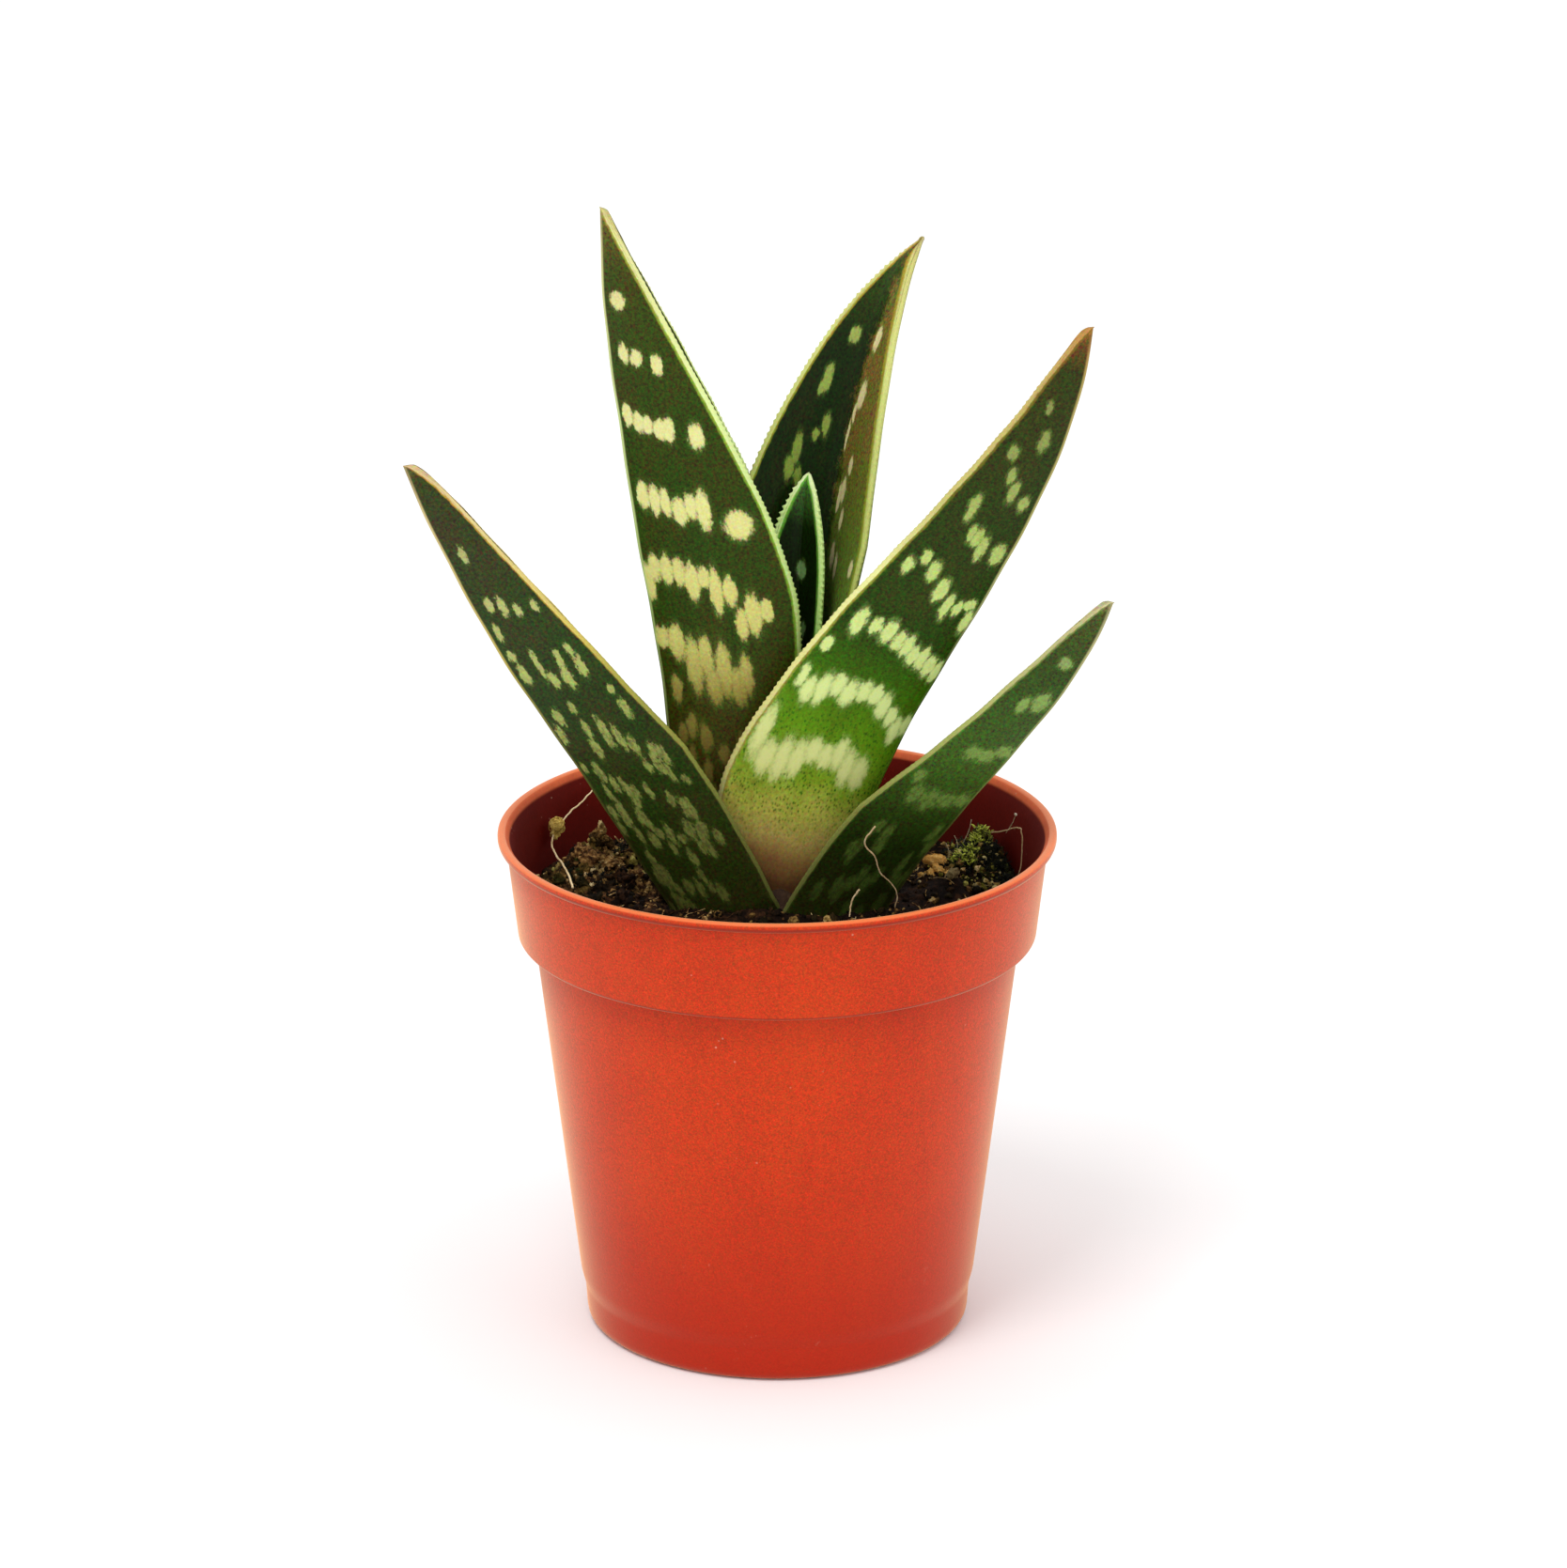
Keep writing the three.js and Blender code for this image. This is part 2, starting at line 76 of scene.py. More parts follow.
# Angles are in degrees. azimuth is the way a leaf leans, at its foot and at its tip. lean is the
# angle from upright at the foot, the middle and the tip, roll the turn of the blade about its
# length, and fold the angle of each half of the blade to the leaf's middle plane. half is the width
# of a half where it is widest, peak the share of the length where that is, foot the share of it
# left at the foot, and taper the two powers of the curve to the tip. thick is the depth of flesh
# behind the channel, bulge how far each outer side swells, keel how round its ridge is at the foot
# and past the middle, blunt the radius of the tip, and teeth the size of the margin's teeth.
SHAPES = {
    "leaf_young_centre": dict(
        base=(2.8, -0.6, 85.0), azimuth=(69.7, 69.2), length=57.0, lean=(5.5, 5.3, 12.3),
        roll=(0.3, -5.1), fold=(13.1, 41.5, 48.7), half=7.6, peak=0.53, foot=0.42, taper=(2.5, 0.78),
        thick=2.4, bulge=0.05, keel=(0.2, 0.1), blunt=0.5, teeth=1.5,
    ),
    "leaf_back_right": dict(
        base=(3.6, 1.7, 80.2), azimuth=(57.2, 44.9), length=101.1, lean=(17.8, 11.5, 44.6),
        roll=(-9.0, -17.7), fold=(14.5, 39.6, 49.9), half=18.8, peak=0.51, foot=0.31, taper=(1.04, 0.92),
        thick=3.6, bulge=0.05, keel=(0.3, 0.1), blunt=0.6, teeth=0.8,
    ),
    "leaf_tall_left": dict(
        base=(-16.5, -3.9, 77.8), azimuth=(190.2, 187.4), length=111.1, lean=(-0.5, 9.1, -0.5),
        roll=(0.1, 1.0), fold=(9.1, 23.8, 42.8), half=24.1, peak=0.4, foot=0.42, taper=(1.59, 0.87),
        thick=5, bulge=0.06, keel=(0.4, 0.12), blunt=0.95, teeth=0.65,
    ),
    "leaf_front_right": dict(
        base=(12.3, -5.4, 74.6), azimuth=(-19.9, -17.9), length=105.9, lean=(9.2, 29.0, 5.7),
        roll=(4.0, -0.5), fold=(22.8, 34.4, 31.0), half=25.2, peak=0.14, foot=0.82, taper=(1.33, 0.69),
        thick=5, bulge=0.06, keel=(1.1, 0.12), blunt=0.5, teeth=0.6,
    ),
    "leaf_low_left": dict(
        base=(-16.2, -4.1, 67.5), azimuth=(196.5, 197.9), length=93.3, lean=(26.9, 31.1, 18.9),
        roll=(-2.0, 2.1), fold=(30.0, 31.2, 25.9), half=18.6, peak=0.32, foot=0.95, taper=(1.0, 0.59),
        thick=5.5, bulge=0.06, keel=(0.7, 0.12), blunt=0.8, teeth=0.35,
    ),
    "leaf_low_right": dict(
        base=(15.4, -4.9, 65.1), azimuth=(-17.4, -23.1), length=74.5, lean=(22.7, 38.3, 20.3),
        roll=(3.3, 4.2), fold=(30.2, 46.0, 27.7), half=16.7, peak=0.31, foot=0.98, taper=(0.91, 0.63),
        thick=5.5, bulge=0.06, keel=(0.7, 0.12), blunt=0.5, teeth=0.35,
    ),
}
THINNING = 0.6  # share of the flesh's depth that is lost by the tip
SLIM = 0.9  # most of the blade's depth that the flesh may fill
EDGE = 0.9  # thickness of the margin
HOOK = 0.7  # share of a tooth's length at which it is highest
TIP_REACH = 6.0  # length of the tip in which the margin thins out
LIFT, LIFT_REACH = 0.5, 1.1  # how far the channel's floor is raised, and how widely
SINK, GATHER, FOOT_STEPS = 7.0, 0.3, 7  # how far the foot goes on below, and how far it draws in
STEM_AXIS = (0.5, -1.4)

# Where the section's points are, as shares of the way from the keel out to the margin, and from
# the margin back in to the channel. The margin's bead is a half circle between them.
OUTER_SHARES = (0, 0.012, 0.03, 0.06, 0.11, 0.18, 0.27, 0.36, 0.45, 0.54, 0.63, 0.72, 0.8, 0.87, 0.93, 0.97)
BEAD_ANGLES = (-70, -35, 0, 35, 70)
INNER_SHARES = (0.96, 0.9, 0.82, 0.72, 0.6, 0.48, 0.36, 0.25, 0.16, 0.09, 0.04)

# ---------------------------------------------------------------- the leaves' colours

# Each spot is (along, across, length, width) in millimetres on the flattened blade: along from the
# foot, across from the keel or, with a sign, from the channel of a leaf that shows its inside.
TALL_LEFT_SPOTS = (
    (96.2, 3.1, 3.0, 2.6),
    (87.6, 3.0, 3.4, 1.8), (86.9, 5.3, 2.8, 2.2), (85.9, 8.7, 3.4, 1.9),
    (77.1, 2.1, 3.6, 1.9), (76.1, 3.9, 3.6, 1.8), (75.6, 5.6, 3.2, 1.9), (74.9, 7.6, 3.4, 2.0),
    (74.9, 9.2, 4.2, 2.0), (73.6, 13.6, 4.4, 2.4),
    (63.7, 2.5, 4.6, 2.0), (62.9, 4.5, 5.2, 2.0), (62.4, 6.3, 4.4, 1.8), (60.9, 8.4, 4.6, 2.4),
    (61.6, 10.4, 4.4, 2.0), (60.9, 12.4, 6.8, 2.4), (57.8, 17.5, 4.8, 4.4),
    (49.0, 0.9, 6.0, 1.8), (51.3, 2.3, 4.6, 2.0), (51.0, 4.3, 5.0, 2.0), (50.6, 6.3, 4.6, 2.0),
    (48.8, 8.3, 6.4, 2.4), (49.4, 10.2, 3.6, 1.8), (47.0, 11.9, 8.0, 1.9), (46.7, 14.1, 5.0, 2.2),
    (41.0, 15.1, 5.4, 1.8), (42.5, 17.2, 7.0, 2.6), (42.8, 19.3, 3.8, 1.9),
    (39.6, 1.4, 3.6, 2.8), (38.6, 3.9, 6.0, 2.6), (34.6, 6.2, 9.0, 2.6), (36.0, 8.3, 7.0, 2.2),
    (31.0, 8.9, 6.0, 2.4), (33.6, 11.0, 9.0, 2.4), (30.6, 12.9, 6.0, 2.4), (32.5, 14.4, 6.5, 2.0),
    (30.8, 2.6, 4.4, 1.6), (24.5, 4.4, 4.0, 1.6), (22.0, 6.6, 3.6, 1.6), (19.5, 9.0, 3.0, 1.6),
)
FRONT_RIGHT_SPOTS = (
    (91.8, 4.7, 2.2, 1.1), (85.8, 3.9, 3.6, 1.7), (82.7, 8.0, 2.7, 1.6),
    (74.3, 2.7, 2.8, 1.8), (75.9, 5.2, 3.8, 1.6), (78.6, 6.7, 2.8, 1.5),
    (64.5, 2.4, 3.6, 2.3), (64.9, 5.6, 4.6, 1.7), (66.6, 7.1, 3.6, 1.6), (66.9, 8.4, 3.2, 1.2),
    (71.4, 10.2, 4.9, 1.6),
    (51.4, 1.3, 4.4, 1.6), (54.6, 2.2, 2.0, 2.1), (53.3, 4.0, 3.0, 1.4), (53.2, 5.9, 4.6, 1.6),
    (55.7, 8.3, 4.4, 2.1), (58.5, 11.0, 3.8, 1.9), (60.3, 13.3, 2.8, 1.6), (57.8, 15.2, 3.2, 1.6),
    (41.3, 1.2, 4.0, 1.8), (42.0, 3.0, 4.0, 1.9), (43.0, 4.8, 4.2, 1.8), (43.2, 6.5, 3.8, 1.8),
    (44.4, 8.3, 4.2, 1.9), (44.9, 10.1, 3.6, 1.8), (45.7, 12.3, 4.2, 2.3), (45.8, 14.6, 3.0, 1.9),
    (45.4, 17.3, 5.0, 2.0),
    (30.4, 0.9, 3.8, 2.0), (29.2, 2.6, 5.0, 1.8), (31.4, 4.4, 3.6, 2.0), (33.0, 6.4, 4.6, 2.2),
    (34.4, 8.5, 3.6, 2.2), (34.4, 10.6, 3.6, 2.2), (33.4, 12.8, 4.6, 2.4), (34.0, 15.0, 4.0, 2.2),
    (32.5, 17.0, 5.6, 2.2), (31.4, 19.0, 4.6, 2.0), (33.4, 20.8, 4.0, 1.5), (39.8, 20.0, 2.6, 1.5),
    (20.4, 5.2, 5.6, 2.6), (21.0, 7.4, 6.4, 2.2), (22.8, 9.4, 5.6, 2.2), (21.8, 11.4, 4.0, 2.4),
    (22.2, 13.6, 4.4, 2.8), (20.0, 15.6, 6.4, 2.4), (19.4, 17.8, 7.2, 2.4), (18.8, 20.2, 5.6, 2.8),
    (22.5, 22.4, 9.0, 2.2),
)
LOW_LEFT_SPOTS = (
    (76.0, 3.2, 3.2, 1.3), (66.3, 3.2, 2.6, 1.2), (65.4, 5.2, 3.6, 1.5), (64.0, 7.2, 2.6, 1.1),
    (63.4, 10.0, 2.2, 1.1), (61.0, 2.0, 3.4, 1.2),
    (52.6, 2.2, 4.0, 1.4), (56.4, 2.0, 2.0, 1.3), (53.4, 5.3, 5.6, 1.1), (50.0, 6.3, 3.4, 1.3),
    (49.6, 8.6, 4.2, 1.5), (53.0, 8.9, 4.0, 1.0), (50.6, 11.4, 4.4, 1.3), (54.0, 11.0, 2.6, 1.0),
    (40.2, 1.5, 3.6, 1.4), (43.4, 3.0, 3.4, 1.5), (36.0, 5.9, 4.8, 1.3), (39.8, 6.2, 3.4, 1.2),
    (44.2, 6.2, 2.4, 1.3), (38.2, 8.7, 6.2, 1.3), (36.4, 10.4, 4.8, 1.1), (33.8, 11.7, 4.2, 1.2),
    (40.6, 14.0, 4.0, 1.2), (44.6, 13.6, 1.8, 0.9), (31.6, 3.6, 3.8, 1.4), (33.2, 1.4, 2.2, 0.9),
)
LOW_RIGHT_SPOTS = (
    (61.6, 2.8, 2.2, 2.0), (53.4, 2.6, 3.6, 2.6), (52.0, 5.1, 3.0, 1.6),
    (42.3, 2.2, 2.4, 3.4), (40.6, 4.8, 2.6, 3.0), (40.4, 7.2, 2.6, 2.6),
    (31.0, 2.4, 3.0, 2.6), (30.2, 5.2, 3.2, 3.0), (29.2, 8.0, 4.2, 2.8), (29.4, 10.6, 3.6, 2.2),
    (32.6, 12.2, 2.8, 1.6),
)
BACK_RIGHT_SPOTS = (
    (82.0, 3.4, 2.8, 1.9), (74.6, 6.0, 4.0, 1.5), (73.2, 6.6, 2.6, 1.2), (67.8, 4.2, 3.6, 1.5),
    (66.0, 5.8, 2.0, 1.4), (63.4, 8.8, 4.6, 1.5), (60.4, 9.6, 3.4, 1.6), (59.4, 7.8, 3.0, 1.4),
    (82.4, -2.2, 3.8, 2.0), (73.4, -2.6, 4.4, 2.2), (70.4, -1.4, 3.2, 1.0), (66.8, -0.7, 4.6, 0.7),
    (62.5, -4.6, 2.6, 1.8), (58.3, -3.4, 4.0, 1.9), (57.0, -2.0, 4.4, 1.1), (54.0, -4.8, 3.4, 1.6),
)
YOUNG_SPOTS = ((41.6, -0.6, 2.6, 2.2), (33.0, 1.8, 2.4, 1.6), (32.4, -2.2, 2.4, 1.6), (24.0, 0.5, 2.6, 1.8))

# How each leaf is marked. ground, spot, margin and seam, the line that runs inside the margin, are
# stops of (share of the length, colour), and keel is stops of (share, strength of the keel's pale
# line). near is the side of the keel that the spots are listed for, or 0 where both are. brown is
# the colour of the mottling and mottle its strength. haze is the strength of the faint ring round
# each spot, ragged how uneven the spots' outlines are, and speckle how dotted with green the pale
# foot is. margin_width and inner_margin are the margin's widths outside and inside. A few leaves
# have more: scattered is the stretch near the foot and the number of spots drawn there at random,
# soft how far the spots near the foot melt into the ground, broken how far streaks break them up,
# far_ground, far_brown and far_spot the colours beyond the channel, and wide_side how much wider
# the margin is there.
LOOKS = {
    "leaf_tall_left": dict(
        spots=TALL_LEFT_SPOTS, near=1, scattered=(5, 24, 40), soft=0.45, brown=(80, 46, 10),
        mottle=0.65, haze=0.16, ragged=0.8, speckle=0.0, margin_width=0.6, inner_margin=0.25,
        ground=((0, (70, 56, 16)), (0.22, (58, 60, 8)), (0.34, (42, 62, 4)), (0.6, (36, 62, 0)),
                (0.9, (50, 66, 8)), (0.96, (84, 82, 24)), (1, (120, 108, 50))),
        spot=((0, (104, 92, 36)), (0.2, (124, 110, 46)), (0.27, (158, 146, 68)),
              (0.36, (206, 200, 112)), (0.6, (224, 222, 148)), (1, (208, 204, 138))),
        margin=((0, (176, 178, 104)), (0.4, (180, 206, 122)), (0.7, (212, 228, 152)),
                (0.94, (216, 214, 146)), (1, (196, 182, 116))),
        seam=((0, (120, 134, 50)), (0.4, (120, 162, 46)), (0.8, (140, 164, 52)), (1, (150, 140, 56))),
        keel=((0, 0.3), (0.5, 0.8), (0.9, 0.8), (1, 0.3)),
    ),
    "leaf_front_right": dict(
        spots=FRONT_RIGHT_SPOTS, near=-1, soft=0.8, brown=(84, 52, 22),
        mottle=0.4, haze=0.3, ragged=1.0, speckle=1.0, margin_width=0.6, inner_margin=0.3,
        ground=((0, (104, 70, 40)), (0.035, (150, 112, 62)), (0.07, (192, 170, 90)),
                (0.11, (186, 186, 76)), (0.16, (130, 164, 34)), (0.24, (96, 144, 16)),
                (0.34, (56, 100, 2)), (0.42, (30, 64, 0)), (0.6, (34, 56, 4)), (0.93, (44, 54, 8)),
                (0.985, (96, 70, 22)), (1, (156, 100, 40))),
        spot=((0, (190, 176, 96)), (0.14, (222, 224, 142)), (0.3, (218, 234, 150)),
              (0.5, (196, 216, 126)), (0.64, (164, 182, 96)), (0.78, (136, 150, 78)),
              (1, (118, 120, 62))),
        margin=((0, (176, 166, 100)), (0.3, (216, 212, 134)), (0.5, (222, 222, 150)),
                (0.65, (190, 184, 110)), (0.9, (186, 166, 96)), (1, (184, 134, 70))),
        seam=((0, (150, 136, 64)), (0.5, (150, 152, 52)), (0.7, (104, 104, 26)), (1, (120, 92, 30))),
        keel=((0, 0.0), (0.4, 0.1), (0.6, 0.7), (0.95, 0.8), (1, 0.2)),
    ),
    "leaf_low_left": dict(
        spots=LOW_LEFT_SPOTS, near=1, scattered=(3, 32, 60), broken=0.45, brown=(80, 46, 30),
        mottle=0.6, haze=0.14, ragged=1.9, speckle=0.3, margin_width=0.34, inner_margin=0.25,
        ground=((0, (40, 52, 10)), (0.3, (34, 54, 10)), (0.6, (38, 60, 18)), (0.9, (48, 58, 24)),
                (0.97, (50, 62, 18)), (1, (84, 84, 40))),
        spot=((0, (98, 102, 42)), (0.3, (140, 148, 76)), (0.5, (164, 174, 94)),
              (0.7, (174, 178, 108)), (1, (160, 160, 104))),
        margin=((0, (96, 100, 46)), (0.3, (128, 132, 60)), (0.48, (164, 158, 70)),
                (0.6, (206, 186, 92)), (0.9, (222, 202, 140)), (1, (206, 180, 130))),
        seam=((0, (56, 62, 22)), (0.4, (96, 96, 34)), (0.55, (168, 140, 52)), (0.95, (190, 150, 56)),
              (1, (140, 100, 50))),
        keel=((0, 0.1), (0.35, 0.35), (0.6, 0.8), (0.9, 0.8), (1, 0.4)),
    ),
    "leaf_low_right": dict(
        spots=LOW_RIGHT_SPOTS, near=-1, scattered=(3, 24, 26), broken=0.4, brown=(60, 56, 24),
        mottle=0.4, haze=0.35, ragged=1.6, speckle=0.2, margin_width=0.38, inner_margin=0.25,
        ground=((0, (48, 54, 14)), (0.14, (34, 42, 8)), (0.25, (32, 50, 8)), (0.5, (62, 94, 28)),
                (0.8, (48, 72, 20)), (0.96, (66, 80, 30)), (1, (140, 130, 80))),
        spot=((0, (54, 70, 24)), (0.3, (92, 118, 46)), (0.5, (122, 154, 72)), (0.7, (128, 156, 80)),
              (1, (136, 152, 92))),
        margin=((0, (100, 104, 52)), (0.3, (132, 136, 66)), (0.6, (160, 166, 92)), (1, (200, 190, 140))),
        seam=((0, (62, 74, 26)), (0.5, (92, 112, 44)), (1, (124, 140, 70))),
        keel=((0, 0.1), (0.5, 0.5), (0.9, 0.8), (1, 0.3)),
    ),
    "leaf_back_right": dict(
        spots=BACK_RIGHT_SPOTS, near=0, brown=(74, 44, 16),
        mottle=0.3, haze=0.2, ragged=0.9, speckle=0.0, margin_width=0.7, inner_margin=0.55,
        wide_side=0.8, far_brown=(128, 92, 44), far_spot=(214, 202, 146),
        ground=((0, (96, 108, 56)), (0.3, (34, 62, 24)), (0.55, (10, 36, 0)), (0.8, (16, 36, 0)),
                (0.95, (44, 66, 6)), (1, (130, 110, 60))),
        far_ground=((0, (110, 120, 60)), (0.4, (98, 124, 46)), (0.6, (92, 104, 34)),
                    (0.8, (100, 96, 34)), (0.93, (84, 104, 38)), (1, (130, 110, 60))),
        spot=((0, (140, 160, 84)), (0.6, (126, 148, 58)), (0.78, (150, 168, 80)), (1, (170, 180, 100))),
        margin=((0, (160, 168, 84)), (0.5, (178, 188, 100)), (0.8, (200, 204, 122)),
                (0.96, (196, 192, 116)), (1, (186, 170, 120))),
        seam=((0, (112, 132, 44)), (0.6, (142, 152, 40)), (1, (170, 140, 44))),
        keel=((0, 0.2), (0.5, 0.5), (1, 0.3)),
    ),
    "leaf_young_centre": dict(
        spots=YOUNG_SPOTS, near=0, brown=(40, 60, 14),
        mottle=0.2, haze=0.2, ragged=1.0, speckle=0.0, margin_width=0.7, inner_margin=0.8,
        ground=((0, (70, 96, 40)), (0.3, (14, 26, 0)), (0.85, (12, 30, 0)), (1, (70, 112, 44))),
        spot=((0, (110, 150, 80)), (1, (120, 160, 96))),
        margin=((0, (140, 184, 92)), (0.5, (178, 222, 116)), (0.9, (210, 236, 150)), (1, (226, 240, 180))),
        seam=((0, (90, 140, 50)), (1, (110, 178, 58))),
        keel=((0, 0.2), (1, 0.4)),
    ),
}

# ---------------------------------------------------------------- shader expressions


def srgb(red, green, blue):
    """A linear colour from sRGB values of 0 to 255."""

    def linear(value):
        share = value / 255
        return share / 12.92 if share <= 0.04045 else ((share + 0.055) / 1.055) ** 2.4

    return (linear(red), linear(green), linear(blue), 1.0)


class Value:
    """A number, colour or vector in a material, which Python's operators add Math nodes to."""

    def __init__(self, finish, socket):
        self.finish = finish
        self.socket = socket

    def math(self, operation, *others, clamp=False):
        settings = {"operation": operation, "use_clamp": clamp}
        return self.finish.node("ShaderNodeMath", settings, dict(enumerate((self, *others))))

    def __add__(self, other):
        return self.math("ADD", other)

    __radd__ = __add__

    def __mul__(self, other):
        return self.math("MULTIPLY", other)

    __rmul__ = __mul__

    def __sub__(self, other):
        return self.math("SUBTRACT", other)

    def __rsub__(self, other):
        return self.finish.node("ShaderNodeMath", {"operation": "SUBTRACT"}, {0: other, 1: self})

    def __truediv__(self, other):
        return self.math("DIVIDE", other)

    def __gt__(self, other):
        return self.math("GREATER_THAN", other)

    def __abs__(self):
        return self.math("ABSOLUTE")

    def least(self, other, soft=0.0):
        """The lesser of two, which run into each other where they are within soft of each other."""
        return self.math("SMOOTH_MIN", other, soft) if soft else self.math("MINIMUM", other)

    def most(self, other):
        return self.math("MAXIMUM", other)

    def clamped(self):
        return self.math("ADD", 0.0, clamp=True)

    def smooth(self, low, high):
        """0 at low and 1 at high, with a soft step between them, whichever is the greater."""
        settings = {"interpolation_type": "SMOOTHSTEP"}
        if low > high:
            return 1 - self.smooth(high, low)
        return self.finish.node("ShaderNodeMapRange", settings, {0: self, 1: low, 2: high, 3: 0.0, 4: 1.0})


class Finish:
    """A material under construction."""

    def __init__(self, name):
        self.material = bpy.data.materials.new(name)
        self.material.use_nodes = True
        self.tree = self.material.node_tree
        self.tree.nodes.clear()

    def node(self, kind, settings=None, inputs=None, output=0):
        """A node with its settings made first and its inputs fed. Returns one of its outputs, if any."""
        made = self.tree.nodes.new(kind)
        for key, value in (settings or {}).items():
            if key == "stops":
                self.set_stops(made.color_ramp, value)
            else:
                setattr(made, key, value)
        for key, value in (inputs or {}).items():
            if isinstance(value, Value):
                self.tree.links.new(value.socket, made.inputs[key])
            else:
                made.inputs[key].default_value = value
        return Value(self, made.outputs[output]) if made.outputs else None

    @staticmethod
    def set_stops(ramp, stops):
        while len(ramp.elements) < len(stops):
            ramp.elements.new(1.0)
        for element, (position, colour) in zip(ramp.elements, stops):
            element.position = position
            element.color = colour

    def attribute(self, name):
        return self.node("ShaderNodeAttribute", {"attribute_name": name}, output=2)

    def position(self):
        """The place on the piece, in metres."""
        return self.node("ShaderNodeTexCoord", output=3)

    def millimetres(self):
        """The place on the piece, in millimetres."""
        return self.vector("MULTIPLY", self.position(), (1 / MM,) * 3)

    def height(self, place):
        """How high a place is above the ground."""
        return self.node("ShaderNodeSeparateXYZ", None, {0: place}, output=2)

    def noise(self, place, size, detail=3.0, roughness=0.55, seed=0.0, colour=False):
        """Noise from 0 to 1 whose lumps are about size across, in the units of place."""
        settings = {"noise_dimensions": "4D"}
        inputs = {"Vector": place, "W": seed, "Scale": 1 / size, "Detail": detail, "Roughness": roughness}
        return self.node("ShaderNodeTexNoise", settings, inputs, output=1 if colour else 0)

    def colour_grain(self, place, size, seed, contrast):
        """Coloured noise about a middle grey, to lay over a colour."""
        grain = self.noise(place, size, detail=2, roughness=0.8, seed=seed, colour=True)
        middle = (1 - contrast) / 2
        return self.vector("MULTIPLY_ADD", grain, (contrast,) * 3, (middle,) * 3)

    def cells(self, place, size):
        """The distance to the nearest of scattered points that are about size apart."""
        return self.node("ShaderNodeTexVoronoi", None, {"Vector": place, "Scale": 1 / size})

    def flecks(self, place, spacing, size, patch, share):
        """Small round flecks, gathered in patches. size and share are the two ends of soft steps."""
        return self.cells(place, spacing).smooth(*size) * self.noise(place, patch, seed=9.0).smooth(*share)

    def vector(self, operation, *values, output=0):
        return self.node("ShaderNodeVectorMath", {"operation": operation}, dict(enumerate(values)), output)

    def combine(self, x, y, z=0.0):
        return self.node("ShaderNodeCombineXYZ", None, {0: x, 1: y, 2: z})

    def mix(self, factor, first, second, blend="MIX"):
        settings = {"data_type": "RGBA", "blend_type": blend}
        return self.node("ShaderNodeMix", settings, {0: factor, 6: first, 7: second}, output=2)

    def ramp(self, factor, stops):
        """A colour ramp. A stop's value is an sRGB colour or a number."""

        def colour(value):
            return (value, value, value, 1.0) if isinstance(value, (int, float)) else srgb(*value)

        return self.node("ShaderNodeValToRGB", {"stops": [(at, colour(v)) for at, v in stops]}, {0: factor})

    def bump(self, height, distance, strength=1.0):
        inputs = {"Strength": strength, "Distance": distance, "Height": height}
        return self.node("ShaderNodeBump", None, inputs)

    def surface(self, **sockets):
        """Ends the material in a Principled surface. Socket names have _ for a space."""
        inputs = {name.replace("_", " "): value for name, value in sockets.items()}
        shader = self.node("ShaderNodeBsdfPrincipled", None, inputs)
        self.node("ShaderNodeOutputMaterial", None, {"Surface": shader})
        return self.material


# ---------------------------------------------------------------- meshes


class Solid:
    """Points in millimetres, faces and point attributes, gathered from several lots."""

    def __init__(self):
        self.points = []
        self.faces = []
        self.values = {}
        self.count = 0

    def add(self, points, faces, **values):
        """Adds a lot of points. Each value is one number, or one for every point."""
        points = np.asarray(points, float)
        self.points.append(points)
        self.faces.extend(tuple(index + self.count for index in face) for face in faces)
        for name, value in values.items():
            self.values.setdefault(name, []).append(np.broadcast_to(value, len(points)))
        self.count += len(points)

    def make(self, name, finish, slot, replaces=()):
        """Makes the Blender object, which rides on the part's body."""
        mesh = bpy.data.meshes.new(name)
        mesh.from_pydata((np.vstack(self.points) * MM).tolist(), [], self.faces)
        mesh.validate()
        mesh.polygons.foreach_set("use_smooth", [True] * len(mesh.polygons))
        for key, lots in self.values.items():
            layer = mesh.attributes.new(key, "FLOAT", "POINT")
            layer.data.foreach_set("value", np.concatenate(lots).astype(np.float32))
        mesh.materials.append(finish)
        piece = bpy.data.objects.new(name, mesh)
        bpy.context.scene.collection.objects.link(piece)
        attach(piece, BODY)
        if replaces:
            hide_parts(*replaces)
        return piece


def grid_faces(rows, columns, closed=True):
    """Quads between rows of points, each a ring where closed."""
    last = columns if closed else columns - 1
    faces = []
    for row in range(rows - 1):
        for column in range(last):
            after = (column + 1) % columns
            first, second = row * columns, (row + 1) * columns
            faces.append((first + column, first + after, second + after, second + column))
    return faces


def revolve(profile, sides):
    """Points and faces of a profile of (radius, z) turned round the Z axis."""
    angles = np.arange(sides) * 2 * math.pi / sides
    radius, height = np.array(profile).T
    level = [np.outer(radius, turned(angles)) for turned in (np.cos, np.sin)]
    rings = np.stack([*level, np.outer(height, np.ones(sides))], axis=-1)
    return rings.reshape(-1, 3), grid_faces(len(profile), sides)


def filleted(corners, steps=5):
    """A polyline of (x, y, fillet) corners with its corners rounded."""
    points = []
    for i, (x, y, fillet) in enumerate(corners):
        here = np.array((x, y), float)
        if fillet == 0 or i in (0, len(corners) - 1):
            points.append(here)
            continue
        before = np.array(corners[i - 1][:2], float) - here
        after = np.array(corners[i + 1][:2], float) - here
        reach = min(fillet, np.linalg.norm(before) * 0.45, np.linalg.norm(after) * 0.45)
        start = here + before / np.linalg.norm(before) * reach
        end = here + after / np.linalg.norm(after) * reach
        for k in range(steps + 1):
            t = k / steps
            points.append(start * (1 - t) ** 2 + here * 2 * t * (1 - t) + end * t * t)
    return points


